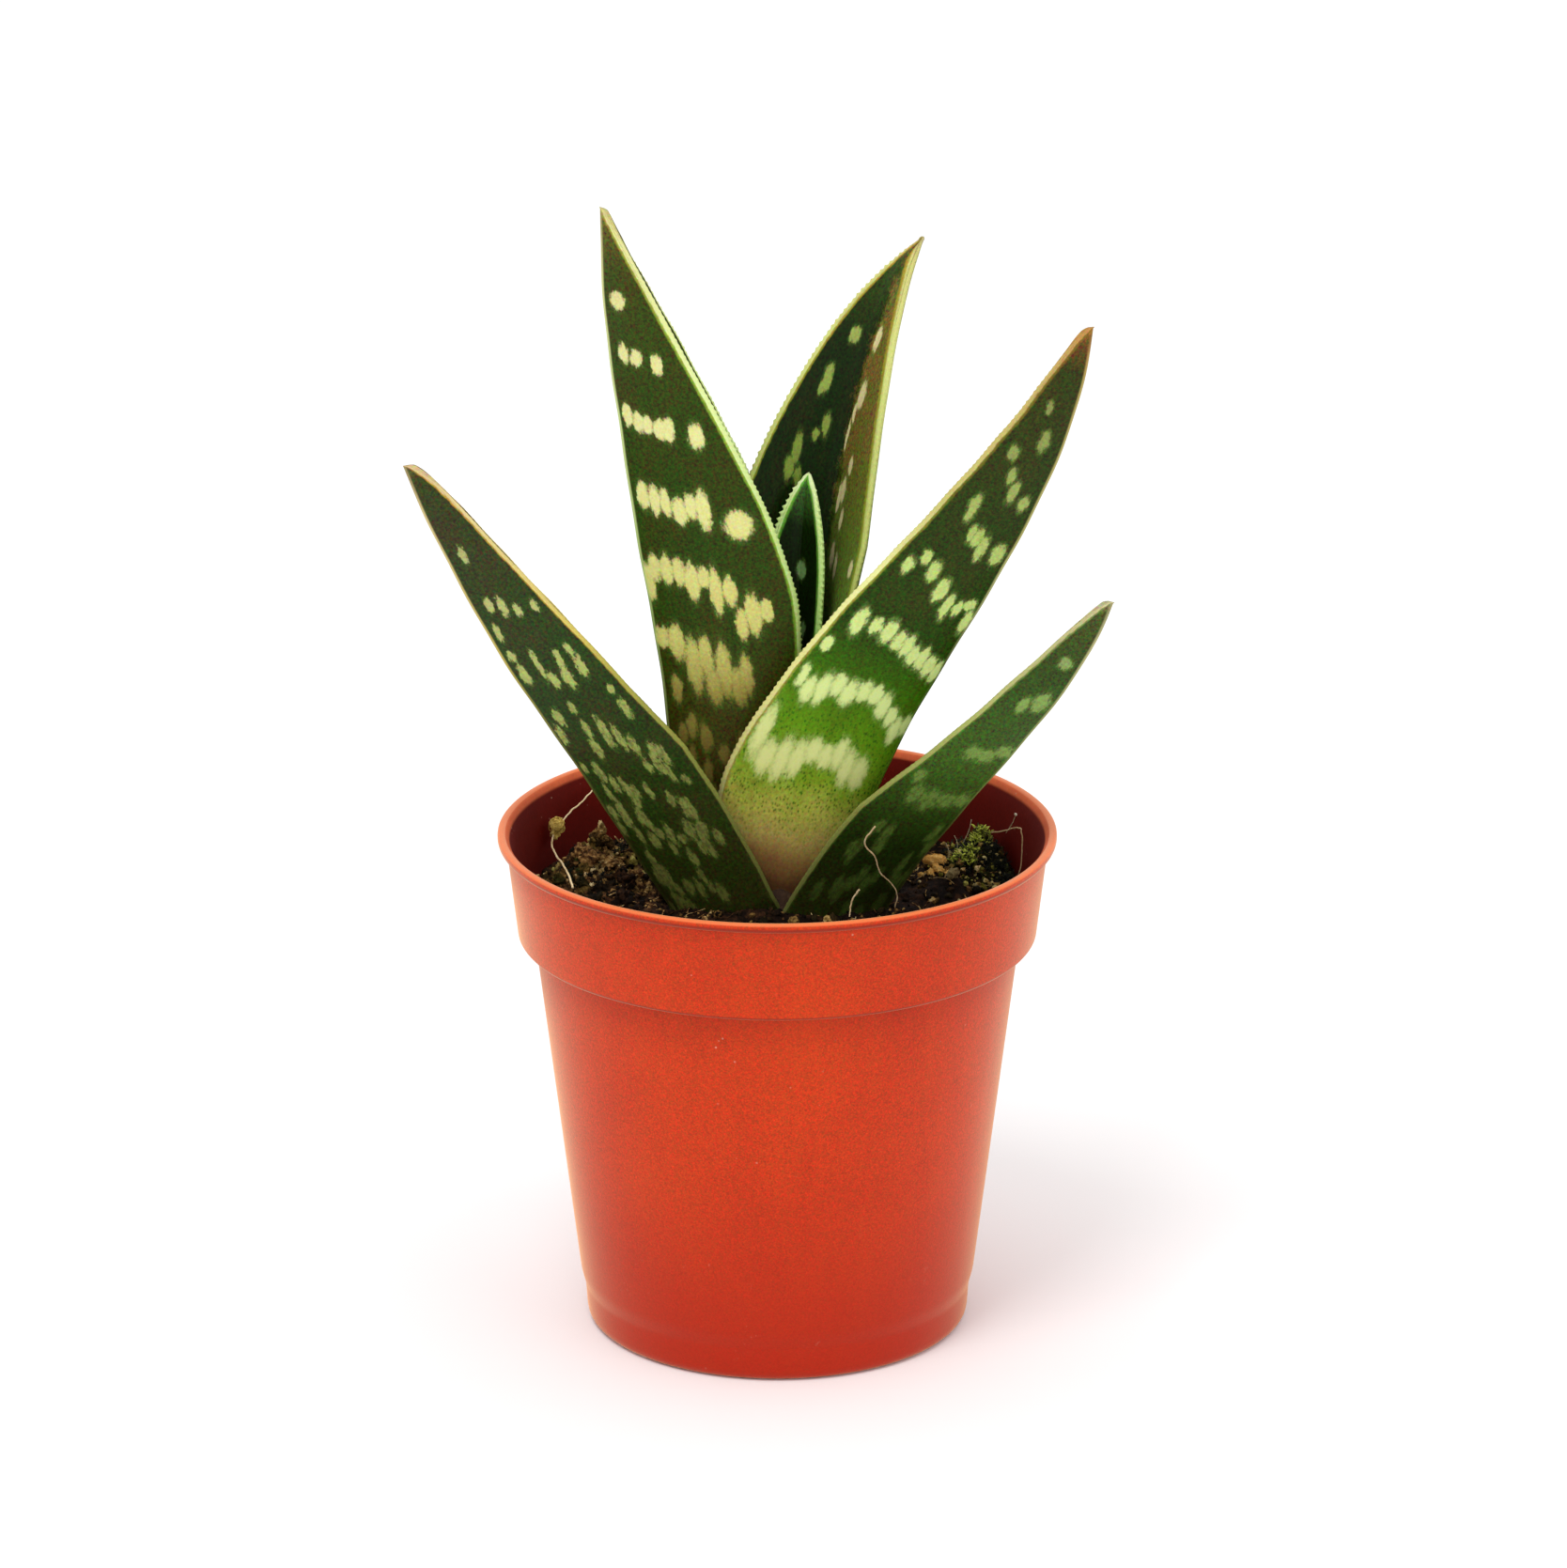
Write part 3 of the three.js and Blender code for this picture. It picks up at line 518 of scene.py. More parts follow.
def smooth_path(points, per_span=8):
    """A Catmull-Rom curve through points."""
    given = [np.array(p, float) for p in points]
    padded = [2 * given[0] - given[1], *given, 2 * given[-1] - given[-2]]
    path = []
    for a, b, c, d in zip(padded, padded[1:], padded[2:], padded[3:]):
        bend = 2 * a - 5 * b + 4 * c - d
        twist = 3 * b - a - 3 * c + d
        for k in range(per_span):
            t = k / per_span
            path.append(0.5 * (2 * b + (c - a) * t + bend * t**2 + twist * t**3))
    path.append(given[-1])
    return np.array(path)


def tube(path, radii, sides):
    """Points and faces of a closed tube along a path, with a radius at each of its points."""
    count = len(path)
    along = np.gradient(path, axis=0)
    along /= np.linalg.norm(along, axis=1)[:, None] + 1e-12
    angles = np.arange(sides) * 2 * math.pi / sides
    normal = np.cross(along[0], (0.31, 0.77, 0.55))
    rings = []
    for i in range(count):
        normal = normal - along[i] * normal.dot(along[i])
        normal = normal / np.linalg.norm(normal)
        across = np.cross(along[i], normal)
        ring = np.outer(np.cos(angles), normal) + np.outer(np.sin(angles), across)
        rings.append(path[i] + radii[i] * ring)
    faces = grid_faces(count, sides)
    faces.append(tuple(range(sides))[::-1])
    faces.append(tuple((count - 1) * sides + k for k in range(sides)))
    return np.vstack(rings), faces


def lump(centre, size, draw, subdivisions=1, roughness=0.3):
    """Points and faces of a small irregular lump."""
    points, faces = ICOSPHERES[subdivisions]
    offset = Vector((draw.uniform(-50, 50), draw.uniform(-50, 50), draw.uniform(-50, 50)))
    stretch = np.array([draw.uniform(0.7, 1.25) for _ in range(3)])
    shifts = []
    for point in map(Vector, points):
        uneven = 1.6 * noise.noise(point * 1.3 + offset) + 0.9 * noise.noise(point * 3.1 - offset)
        shifts.append(1 + roughness * uneven)
    placed = points * np.array(shifts)[:, None] * stretch * size
    turn = random_turn(draw)
    return placed @ turn.T + np.array(centre), faces


def random_turn(draw):
    """A rotation matrix, drawn at random."""
    quaternion = np.array([draw.gauss(0, 1) for _ in range(4)])
    w, x, y, z = quaternion / np.linalg.norm(quaternion)
    return np.array([
        (1 - 2 * (y * y + z * z), 2 * (x * y - z * w), 2 * (x * z + y * w)),
        (2 * (x * y + z * w), 1 - 2 * (x * x + z * z), 2 * (y * z - x * w)),
        (2 * (x * z - y * w), 2 * (y * z + x * w), 1 - 2 * (x * x + y * y)),
    ])


def icosphere(subdivisions):
    """Points and faces of a ball of radius 1, made of triangles that are cut in four each time."""
    golden = (1 + 5**0.5) / 2
    points = [Vector(p).normalized() for p in (
        (-1, golden, 0), (1, golden, 0), (-1, -golden, 0), (1, -golden, 0),
        (0, -1, golden), (0, 1, golden), (0, -1, -golden), (0, 1, -golden),
        (golden, 0, -1), (golden, 0, 1), (-golden, 0, -1), (-golden, 0, 1),
    )]
    faces = [
        (0, 11, 5), (0, 5, 1), (0, 1, 7), (0, 7, 10), (0, 10, 11), (1, 5, 9), (5, 11, 4), (11, 10, 2),
        (10, 7, 6), (7, 1, 8), (3, 9, 4), (3, 4, 2), (3, 2, 6), (3, 6, 8), (3, 8, 9), (4, 9, 5),
        (2, 4, 11), (6, 2, 10), (8, 6, 7), (9, 8, 1),
    ]
    for _ in range(subdivisions):
        middles = {}
        finer = []

        def middle(a, b):
            key = (min(a, b), max(a, b))
            if key not in middles:
                middles[key] = len(points)
                points.append(((points[a] + points[b]) / 2).normalized())
            return middles[key]

        for a, b, c in faces:
            ab, bc, ca = middle(a, b), middle(b, c), middle(c, a)
            finer += [(a, ab, ca), (b, bc, ab), (c, ca, bc), (ab, bc, ca)]
        faces = finer
    return np.array([tuple(p) for p in points]), faces


ICOSPHERES = [icosphere(level) for level in range(4)]


# ---------------------------------------------------------------- leaf mesh


def through(values, t):
    """The quadratic through three values at 0, a half and 1."""
    start, middle, end = values
    return start * (1 - t) * (1 - 2 * t) + middle * 4 * t * (1 - t) + end * t * (2 * t - 1)


def leaf_frames(shape, t):
    """The leaf's direction, inward direction and sideways direction at each t."""
    lean = np.radians(through(shape["lean"], t))
    azimuth = np.radians(np.interp(t, (0, 1), shape["azimuth"]))
    roll = np.radians(np.interp(t, (0, 1), shape["roll"]))[:, None]
    along = np.stack([np.sin(lean) * np.cos(azimuth), np.sin(lean) * np.sin(azimuth), np.cos(lean)], -1)
    level = np.stack([-np.cos(lean) * np.cos(azimuth), -np.cos(lean) * np.sin(azimuth), np.sin(lean)], -1)
    sideways = np.cross(level, along)
    inward = level * np.cos(roll) + sideways * np.sin(roll)
    return along, inward, sideways * np.cos(roll) - level * np.sin(roll)


def half_width(shape, t):
    """The width of each half of the blade at each t."""
    grown = shape["foot"] + (1 - shape["foot"]) * np.sin(math.pi / 2 * np.minimum(t / shape["peak"], 1))
    past = np.clip((t - shape["peak"]) / (1 - shape["peak"]), 0, 1)
    power, root = shape["taper"]
    half = shape["half"] * grown * np.maximum(1 - past**power, 0) ** root
    blunt = shape["blunt"]
    reach = (1 - t) * shape["length"] / blunt
    cap = blunt * np.sin(math.pi / 2 * np.minimum(reach, 1)) ** 0.8 * np.exp(-np.maximum(reach - 1, 0) / 3)
    return (half**3 + cap**3) ** (1 / 3)


def tooth_heights(t, length, pitch, height, seed):
    """How far the margin's teeth stand out, in millimetres.

    Each tooth rises slowly towards the tip and ends in a short hook.
    """
    draw = np.random.default_rng(seed)
    turns = t * length / pitch
    size = draw.uniform(0.65, 1.15, int(turns.max()) + 2)[turns.astype(int)]
    phase = turns % 1
    rise = np.where(phase < HOOK, (phase / HOOK) ** 1.5, (1 - phase) / (1 - HOOK))
    fade = np.clip(np.minimum(8 * t, 0.15 + 20 * (1 - t)), 0, 1)
    return height * size * rise * fade


def flesh_depth(shape, t, half):
    """How far in from the keel the channel's floor lies at each t."""
    fold = np.radians(through(shape["fold"], t))
    return np.minimum(shape["thick"] * (1 - THINNING * t), half * np.cos(fold) * SLIM)


def half_section(shape, t, half, teeth, side, keel_round):
    """Points across one half of the blade, keel first and channel last, and their attributes.

    x is inward and y sideways. Returns arrays of stations by points.
    """
    thick = flesh_depth(shape, t, half)[:, None]
    fold = np.radians(through(shape["fold"], t))[:, None]
    half = half[:, None]
    fading = np.clip((1 - t) * shape["length"] / TIP_REACH, 0, 1)[:, None]
    edge = np.minimum(EDGE * (0.45 + 0.55 * fading), half * np.sin(fold))

    shares = np.array(OUTER_SHARES)[None, :]
    swell = shape["bulge"] * half * np.sin(math.pi * shares)
    keel_reach = 0.25 + 1.6 * keel_round[:, None]
    rounding = keel_round[:, None] * np.exp(-((half * shares / keel_reach) ** 2))
    x_outer = half * shares * np.cos(fold) - swell * np.sin(fold) + rounding
    y_outer = half * shares * np.sin(fold) + swell * np.cos(fold)

    angles = np.radians(BEAD_ANGLES)[None, :]
    reach = edge / 2 * np.cos(angles) + teeth[:, None] * np.cos(angles) ** 3
    rise = edge / 2 + edge / 2 * np.sin(angles)
    x_bead = (half + reach - edge / 2) * np.cos(fold) + rise * np.sin(fold)
    y_bead = (half + reach - edge / 2) * np.sin(fold) - rise * np.cos(fold)

    inner = np.array(INNER_SHARES)[None, :]
    x_end = half * np.cos(fold) + edge * np.sin(fold)
    y_end = half * np.sin(fold) - edge * np.cos(fold)
    lift = LIFT * np.exp(-((y_end * inner / LIFT_REACH) ** 2)) * np.minimum(thick, 1)
    x_inner = thick + (x_end - thick) * inner + lift
    y_inner = y_end * inner

    bead, flat_inner = 0 * angles, half * inner
    x = np.hstack([x_outer, x_bead, x_inner])
    y = side * np.hstack([y_outer, y_bead, y_inner])
    across = np.hstack([half * shares, half + bead, flat_inner])
    rim = np.hstack([half - half * shares, 0 * half + bead, half - flat_inner])
    turned = (angles - angles[0, 0]) / (angles[0, -1] - angles[0, 0])
    face = np.hstack([0 * half * shares, turned + 0 * half, 1 + 0 * half * inner])
    return x, y, side * across, rim, face


def leaf_solid(name, leaf):
    """A leaf from below the soil to its tip."""
    shape = SHAPES[name]
    length = shape["length"]
    steps = int(round(length / leaf.station))
    t = np.arange(steps) / steps
    seed = sum(map(ord, name))
    middle_along, _, _ = leaf_frames(shape, (np.arange(steps) + 0.5) / steps)
    walked = np.vstack([np.zeros(3), np.cumsum(middle_along * length / steps, 0)])
    spine = walked + np.array(shape["base"])
    along, inward, sideways = leaf_frames(shape, t)
    half = half_width(shape, t)
    keel_round = np.interp(t, (0, 0.55), shape["keel"])
    sections = []
    for side in (1, -1):
        teeth = tooth_heights(t, length, leaf.tooth_pitch, leaf.tooth_height * shape["teeth"], seed + side)
        sections.append(half_section(shape, t, half, teeth, side, keel_round))
    thick = flesh_depth(shape, t, half)
    channel = (thick + LIFT * np.minimum(thick, 1), 0 * t, 0 * t, half, 1 + 0 * t)
    # The ring runs from the keel out along one side, in to the channel, and back along the other.
    x, y, across, rim, face = (
        np.hstack([one, bottom[:, None], other[:, :0:-1]])
        for one, bottom, other in zip(sections[0], channel, sections[1])
    )
    x = x + leaf_wave(t * length, across, seed)
    points = spine[:-1, None] + x[..., None] * inward[:, None] + y[..., None] * sideways[:, None]
    columns = points.shape[1]
    foot = [foot_ring(points[0], along[0], k / FOOT_STEPS) for k in range(FOOT_STEPS, 0, -1)]
    points = np.concatenate([np.array(foot), points]).reshape(-1, 3)
    below = -SINK * np.arange(FOOT_STEPS, 0, -1) / FOOT_STEPS
    distance = np.append(np.repeat(np.append(below, t * length), columns), length)

    def with_foot(values, tip):
        return np.append(np.concatenate([np.repeat(values[:1], FOOT_STEPS, 0), values]).ravel(), tip)

    rows = steps + FOOT_STEPS
    last, tip = (rows - 1) * columns, rows * columns
    faces = [quad[::-1] for quad in grid_faces(rows, columns)]
    faces += [((k + 1) % columns + last, k + last, tip) for k in range(columns)]
    faces.append(tuple(range(columns)))
    solid = Solid()
    solid.add(
        np.vstack([points, spine[-1:]]), faces, along=distance, across=with_foot(across, 0),
        rim=with_foot(rim, 0), face=with_foot(face, 0.5),
    )
    return solid


def leaf_wave(along, across, seed):
    """Gentle unevenness of the blade, the same on its outer and inner face."""
    turn = seed % 7
    rows = along[:, None]
    dents = 0.1 * np.sin(rows / 6.1 + turn) * np.sin(across / 5.3 + turn)
    return dents + 0.05 * np.sin(rows / 2.3 + across / 3.1)


def foot_ring(ring, along, depth):
    """The foot's ring: sunk along the leaf, and drawn in towards the stem's axis."""
    sunk = ring - along * SINK * depth
    centre = np.array(STEM_AXIS)
    sunk[:, :2] += (centre - sunk[:, :2]) * GATHER * depth
    return sunk


# ---------------------------------------------------------------- leaf material


def spot_distance(finish, place, spots):
    """The distance to the nearest spot, as a share of its radius."""
    nearest = None
    for along, across, length, width in spots:
        scale = (2 / length, 2 / width, 1.0)
        shift = (-along * scale[0], -across * scale[1], 0.0)
        scaled = finish.vector("MULTIPLY_ADD", place, scale, shift)
        distance = finish.vector("LENGTH", scaled, output=1)
        nearest = distance if nearest is None else nearest.least(distance, soft=0.6)
    return nearest


def all_spots(name):
    """The listed spots, and those drawn at random where a leaf is too marked or too hidden to list."""
    look, shape = LOOKS[name], SHAPES[name]
    draw = random.Random(len(name))

    def reach(place):
        """How far from the keel a spot may be at a place along the leaf."""
        return float(half_width(shape, np.array([place / shape["length"]]))[0]) - 2

    spots = list(look["spots"])
    if "scattered" in look:
        low, high, count = look["scattered"]
        for k in range(count):
            place = low + (high - low) * ((k * 0.618) % 1)
            across = reach(place) * (0.06 + 0.9 * draw.random())
            spots.append((place, across, draw.uniform(2.0, 4.6), draw.uniform(0.9, 1.4)))
    place = min(spot[0] for spot in look["spots"]) - 7
    while not look["near"] and place > 6:
        across = -reach(place) + draw.uniform(0, 2)
        while across < reach(place):
            if draw.random() < 0.7:
                shifted = place + draw.uniform(-1.5, 1.5)
                spots.append((shifted, across, draw.uniform(2.6, 4.6), draw.uniform(1.4, 2.1)))
            across += draw.uniform(2.2, 3.6)
        place -= draw.uniform(8, 11)
    return spots


def leaf_finish(name, leaf):
    """The waxy skin: ground colour, mottling, spots, keel line and margin."""
    shape, look = SHAPES[name], LOOKS[name]
    finish = Finish(name)
    along, across = finish.attribute("along"), finish.attribute("across")
    rim, face = finish.attribute("rim"), finish.attribute("face")
    raw = finish.combine(along, across, face * 9)
    stretched = finish.vector("MULTIPLY", raw, (0.5, 1.0, 1.0))
    broad = finish.noise(stretched, 4.0, detail=3, seed=1.0)
    fine = finish.noise(stretched, 0.5, detail=3, roughness=0.65, seed=2.0)
    share = along / shape["length"] + (broad - 0.5) * 0.07 + (fine - 0.5) * 0.03

    spots = leaf_spots(finish, name, along, across, face, stretched, fine)
    ground = leaf_ground(finish, look, share, across, raw, broad, fine)
    pale = finish.ramp(share, look["spot"])
    if "far_spot" in look:
        pale = finish.mix((across * -1).smooth(-0.5, 0.5), pale, srgb(*look["far_spot"]))
    pale = finish.mix((fine - 0.5).smooth(0.0, 0.3) * 0.3, pale, finish.mix(0.5, pale, ground))
    outline = finish.mix(0.6, ground, setting_colour(leaf.spot_outline))
    spotted = finish.mix(spots, ground, finish.mix(spots.smooth(0.05, 0.6), outline, pale))
    grain = finish.colour_grain(raw, 0.5, seed=3.0, contrast=2.8)
    smooth_foot = 1 - share.smooth(0.45, 0.25) * 0.65 * look["speckle"]
    skin = finish.mix((0.76 - spots * 0.5) * smooth_foot, spotted, grain, "OVERLAY")

    width = look["margin_width"] + face * (look["inner_margin"] - look["margin_width"])
    if "wide_side" in look:
        width = width + (across * -1 > 0) * look["wide_side"] * face
    jag = finish.noise(stretched, 0.8, detail=2, seed=5.0) * 0.6 - 0.3
    depth = (rim + jag * 0.8) / width
    margin = finish.ramp(share, look["margin"])
    seam = finish.mix(depth.smooth(1.9, 1.0) * 0.9, skin, finish.ramp(share, look["seam"]))
    border = finish.mix(depth.smooth(1.0, 0.45), seam, margin)
    border = finish.mix(0.3, border, grain, "OVERLAY")
    bordered = finish.mix(depth.smooth(2.0, 1.35), skin, border)
    keel = abs(across).smooth(0.75, 0.25) * (1 - face) * finish.ramp(share, look["keel"])
    colour = finish.mix(keel, bordered, margin)

    pores = finish.noise(stretched, 0.9, detail=4, seed=7.0)
    roughness = 0.42 + pores * 0.16 + spots * 0.05
    ribs = (across * 3.2 + broad * 2).math("SINE")
    relief = pores * 0.35 + fine * 0.35 + spots * 0.25 + ribs * 0.06
    return finish.surface(
        Base_Color=colour, Roughness=roughness, Normal=finish.bump(relief, 0.00014, 0.8),
        Subsurface_Weight=0.05, Subsurface_Radius=(0.6, 1.0, 0.3), Subsurface_Scale=0.001,
        Specular_IOR_Level=0.12,
    )


def leaf_spots(finish, name, along, across, face, stretched, fine):
    """How strongly the pale spots show: ragged ovals that run into each other in soft rows."""
    look = LOOKS[name]
    near = look["near"]
    if near:
        beyond_keel = (across * -near > 0) * 2.6
        place = finish.combine(along + beyond_keel + face * 2.2, abs(across))
    else:
        place = finish.combine(along - (1 - face) * 2.2, across)
    wander = finish.noise(
        stretched, 1.1, detail=4, roughness=0.7, seed=SHAPES[name]["half"], colour=True)
    wander = finish.vector("MULTIPLY_ADD", wander, (2.4, 1.5, 0.0), (-1.2, -0.75, 0.0))
    place = finish.vector("ADD", place, wander)
    distance = spot_distance(finish, place, all_spots(name)) + (fine - 0.5) * look["ragged"]
    core = distance.smooth(1.36, 0.7)
    if "soft" in look:
        core = finish.mix(along.smooth(44.0, 24.0) * look["soft"], core, distance.smooth(1.8, 0.35))
    haze = distance.smooth(1.65, 1.15) * look["haze"]
    shown = core.most(haze) * (0.86 + fine * 0.24).clamped()
    if "broken" in look:
        streaks = finish.noise(stretched, 0.75, detail=3, roughness=0.7, seed=12.0).smooth(0.42, 0.56)
        low = along.smooth(52.0, 34.0)
        shown = shown * (1 - low * (1 - streaks) * look["broken"])
    return shown


def leaf_ground(finish, look, share, across, raw, broad, fine):
    """The colour between the spots."""
    ground = finish.ramp(share, look["ground"])
    if "far_ground" in look:
        other = finish.ramp(share, look["far_ground"])
        patch = finish.noise(raw, 2.4, detail=4, roughness=0.7, seed=11.0)
        rust = patch.smooth(0.38, 0.62) * share.smooth(0.48, 0.72)
        other = finish.mix(rust * 0.75, other, srgb(*look["far_brown"]))
        far = (across * -1 + (fine - 0.5) * 3 + (patch - 0.5) * 6).smooth(-0.6, 2.0)
        ground = finish.mix(far, ground, other)
    brown = ((broad - 0.4) * 1.5 + (fine - 0.5) * 2.2).clamped() * look["mottle"]
    ground = finish.mix(brown, ground, srgb(*look["brown"]))
    if look["speckle"]:
        specks = finish.cells(finish.vector("MULTIPLY", raw, (0.7, 1.1, 1.0)), 0.52)
        low = share.smooth(0.42, 0.3) * share.smooth(0.02, 0.15) * look["speckle"]
        shown = specks.smooth(0.5, 0.15) * low * (fine * 2.4 - 0.5).clamped()
        ground = finish.mix(shown, ground, srgb(40, 92, 12))
    return ground


def setting_colour(colour):
    """The linear colour of a colour setting."""
    return srgb(*(channel * 255 for channel in colour))


# ---------------------------------------------------------------- pot

POT_RIM, POT_TOP = node_box("pot")[1].xz
LEDGE, LIP = 66.0, 81.7  # heights of the collar's lower edge and of the lip's
LIP_THICK = 1.6

# Corners of (radius, z, fillet), from the middle of the underside out and up to the top of the lip,
# and from there down the inside.
POT_OUTSIDE = (
    (0, 0, 0), (9, 0, 0.3), (9.8, 1.8, 0.4), (25.4, 1.8, 0.4), (26.2, 0, 0.3), (31.0, 0, 1.9),
    (31.4, 5.8, 0.5), (32.1, 8.2, 0.9), (38.7, 61.8, 0.9), (39.2, 66.1, 0.4), (41.5, LEDGE, 0.15),
    (41.85, 66.4, 0.2), (43.65, LIP, 0.15), (POT_RIM - 0.4, LIP, 0.15), (POT_RIM, 82.2, 0.3),
    (POT_RIM, POT_TOP, 0.6),
)
POT_INSIDE = (
    (POT_RIM - LIP_THICK + 0.4, POT_TOP, 0.5), (43.1, 82.3, 0.7), (42.5, 80.2, 0.8),
    (40.7, 69.0, 1.0), (37.9, 65.2, 2.0), (30.9, 8.2, 1.0), (30.2, 3.4, 1.5), (0, 3.4, 0),
)

# Rings of painted shade round the pot: the heights that each fades in from, is full from and to, and
# fades out to, its strength and its colour. They lie under the collar, on its edge, and under the lip.
POT_SHADE_RINGS = (
    (LEDGE - 8, LEDGE, LEDGE - 0.1, LEDGE + 0.1, 0.14, (140, 16, 0)),
    (LEDGE - 0.1, LEDGE, LEDGE + 0.35, LEDGE + 0.6, 0.6, (110, 4, 0)),
    (LIP - 1.1, LIP - 0.1, LIP + 0.3, LIP + 0.7, 0.4, (170, 34, 2)),
    (LIP - 0.1, LIP, LIP + 0.5, LIP + 0.9, 0.7, (120, 14, 0)),
)
DRAIN_HOLES, DRAIN_RADIUS, DRAIN_REACH, DRAIN_SIDES = 8, 2.4, 18.0, 24


def densified(profile, step):
    """The same profile with no span longer than step."""
    points = [profile[0]]
    for point in profile[1:]:
        pieces = max(1, int(math.ceil(np.linalg.norm(point - points[-1]) / step)))
        start = points[-1]
        points += [start + (point - start) * k / pieces for k in range(1, pieces + 1)]
    return points


def pot_solid(pot):
    """The pot without its drain holes. The inside attribute is 1 past the top of the lip."""
    profile = densified(filleted(POT_OUTSIDE + POT_INSIDE), 2.5)
    heights = np.array(profile)[:, 1]
    over_lip = int(np.nonzero(heights >= POT_TOP - 0.01)[0][-1]) + 2
    points, faces = revolve(profile[1:-1], pot.sides)
    count = len(profile) - 2
    under, floor = count * pot.sides, count * pot.sides + 1
    last = (count - 1) * pot.sides
    faces += [((k + 1) % pot.sides, k, under) for k in range(pot.sides)]
    faces += [(last + k, last + (k + 1) % pot.sides, floor) for k in range(pot.sides)]
    inside = np.append(np.repeat(np.arange(count) >= over_lip, pot.sides), (0, 1)).astype(float)
    ends = np.array([(0, 0, heights[0]), (0, 0, heights[-1])])
    solid = Solid()
    solid.add(np.vstack([points, ends]), faces, inside=inside)
    return solid


def pot_finish(pot):
    """Moulded plastic: fine eggshell texture, faint flow marks, scuffs, a few pale specks, painted shade and
    a painted highlight.
    """
    finish = Finish("pot_plastic")
    place = finish.millimetres()
    height = finish.height(place)
    cloud = finish.noise(place, 26.0, detail=3, seed=1.0)
    flow = finish.noise(finish.vector("MULTIPLY", place, (1.0, 1.0, 0.12)), 5.0, detail=3, seed=2.0)
    grain = finish.noise(place, 0.5, detail=3, roughness=0.8, seed=3.0)
    dark = setting_colour(pot.dark_colour)
    tone = ((cloud - 0.5) * 0.9 + (flow - 0.5) * 0.5 + (grain - 0.5) * 0.6 + 0.5).clamped()
    colour = finish.mix(tone, dark, setting_colour(pot.light_colour))
    colour = finish.mix(0.4, colour, setting_colour(pot.colour))
    pigment = finish.colour_grain(place, 0.3, seed=8.0, contrast=2.4)
    colour = finish.mix(0.5, colour, pigment, "OVERLAY")
    # painted shade: the plastic darkens towards the bottom of the pot
    colour = finish.mix(height.smooth(44.0, 0.0) * 0.75, colour, dark)
    # painted shade: darker rings under the collar, along its lower edge and under the lip
    for low, full, still_full, high, strength, stain_and_shade in POT_SHADE_RINGS:
        ring = height.smooth(low, full) * height.smooth(high, still_full)
        colour = finish.mix(ring * strength, colour, srgb(*stain_and_shade))
    # painted highlight: a pale orange band along the top of the lip
    colour = finish.mix(height.smooth(LIP + 1.0, LIP + 1.45) * 0.7, colour, srgb(246, 134, 78))
    dust = finish.noise(place, 1.6, detail=4, roughness=0.7, seed=4.0).smooth(0.62, 0.76)
    dusty = dust * finish.noise(place, 14.0, seed=6.0).smooth(0.5, 0.7)
    colour = finish.mix(dusty * 0.3, colour, srgb(232, 176, 150))
    specks = finish.flecks(place, 3.4, (0.075, 0.03), 8.0, (0.54, 0.66))
    colour = finish.mix(specks * 0.55, colour, srgb(236, 186, 160))
    return finish.surface(
        Base_Color=colour, Roughness=0.4 + grain * 0.12 + dusty * 0.25,
        Normal=finish.bump(grain * 0.6 + flow * 0.4, 0.00006, 0.7), Specular_IOR_Level=0.12,
        Sheen_Weight=0.95, Sheen_Roughness=0.34, Sheen_Tint=srgb(255, 206, 156), Coat_Weight=0.12,
        Coat_Roughness=0.2,
    )


def pot_inside_finish():
    """The inner wall: darker with painted shade, most towards the soil, blotched by wet peat and flecked with
    dust.
    """
    finish = Finish("pot_inside")
    place = finish.millimetres()
    height = finish.height(place)
    grain = finish.noise(place, 0.5, detail=3, roughness=0.8, seed=3.0)
    stain_and_shade = finish.noise(place, 3.5, detail=4, roughness=0.65, seed=5.0)
    # painted light: the lip's inner top is pale like the lip's highlight, and the wall below it is dark as
    # painted shade
    colour = finish.mix(height.smooth(LIP + 0.2, LIP + 0.8), srgb(108, 16, 5), srgb(222, 104, 62))
    # more painted shade towards the soil, mixed with blotches of stain from wet peat
    soiled_and_shaded = (height.smooth(80.0, 68.0) * 0.7 + (stain_and_shade - 0.4) * 0.8).clamped()
    colour = finish.mix(soiled_and_shaded * 0.55, colour, srgb(44, 10, 5))
    pigment = finish.noise(place, 0.42, detail=2, roughness=0.8, seed=8.0, colour=True)
    colour = finish.mix(0.4, colour, pigment, "OVERLAY")
    flecks = finish.flecks(place, 1.9, (0.11, 0.04), 6.0, (0.48, 0.62))
    colour = finish.mix(flecks * 0.7, colour, srgb(196, 160, 140))
    return finish.surface(
        Base_Color=colour, Roughness=0.6 + grain * 0.15,
        Normal=finish.bump(grain * 0.6 + stain_and_shade * 1.2, 0.00008, 0.7), Specular_IOR_Level=0.1,
    )


def line_pot(piece, finish):
    """Gives the faces of the inner wall their own finish."""
    mesh = piece.data
    mesh.materials.append(finish)
    inside = mesh.attributes["inside"].data
    for polygon in mesh.polygons:
        if all(inside[vertex].value > 0.5 for vertex in polygon.vertices):
            polygon.material_index = 1


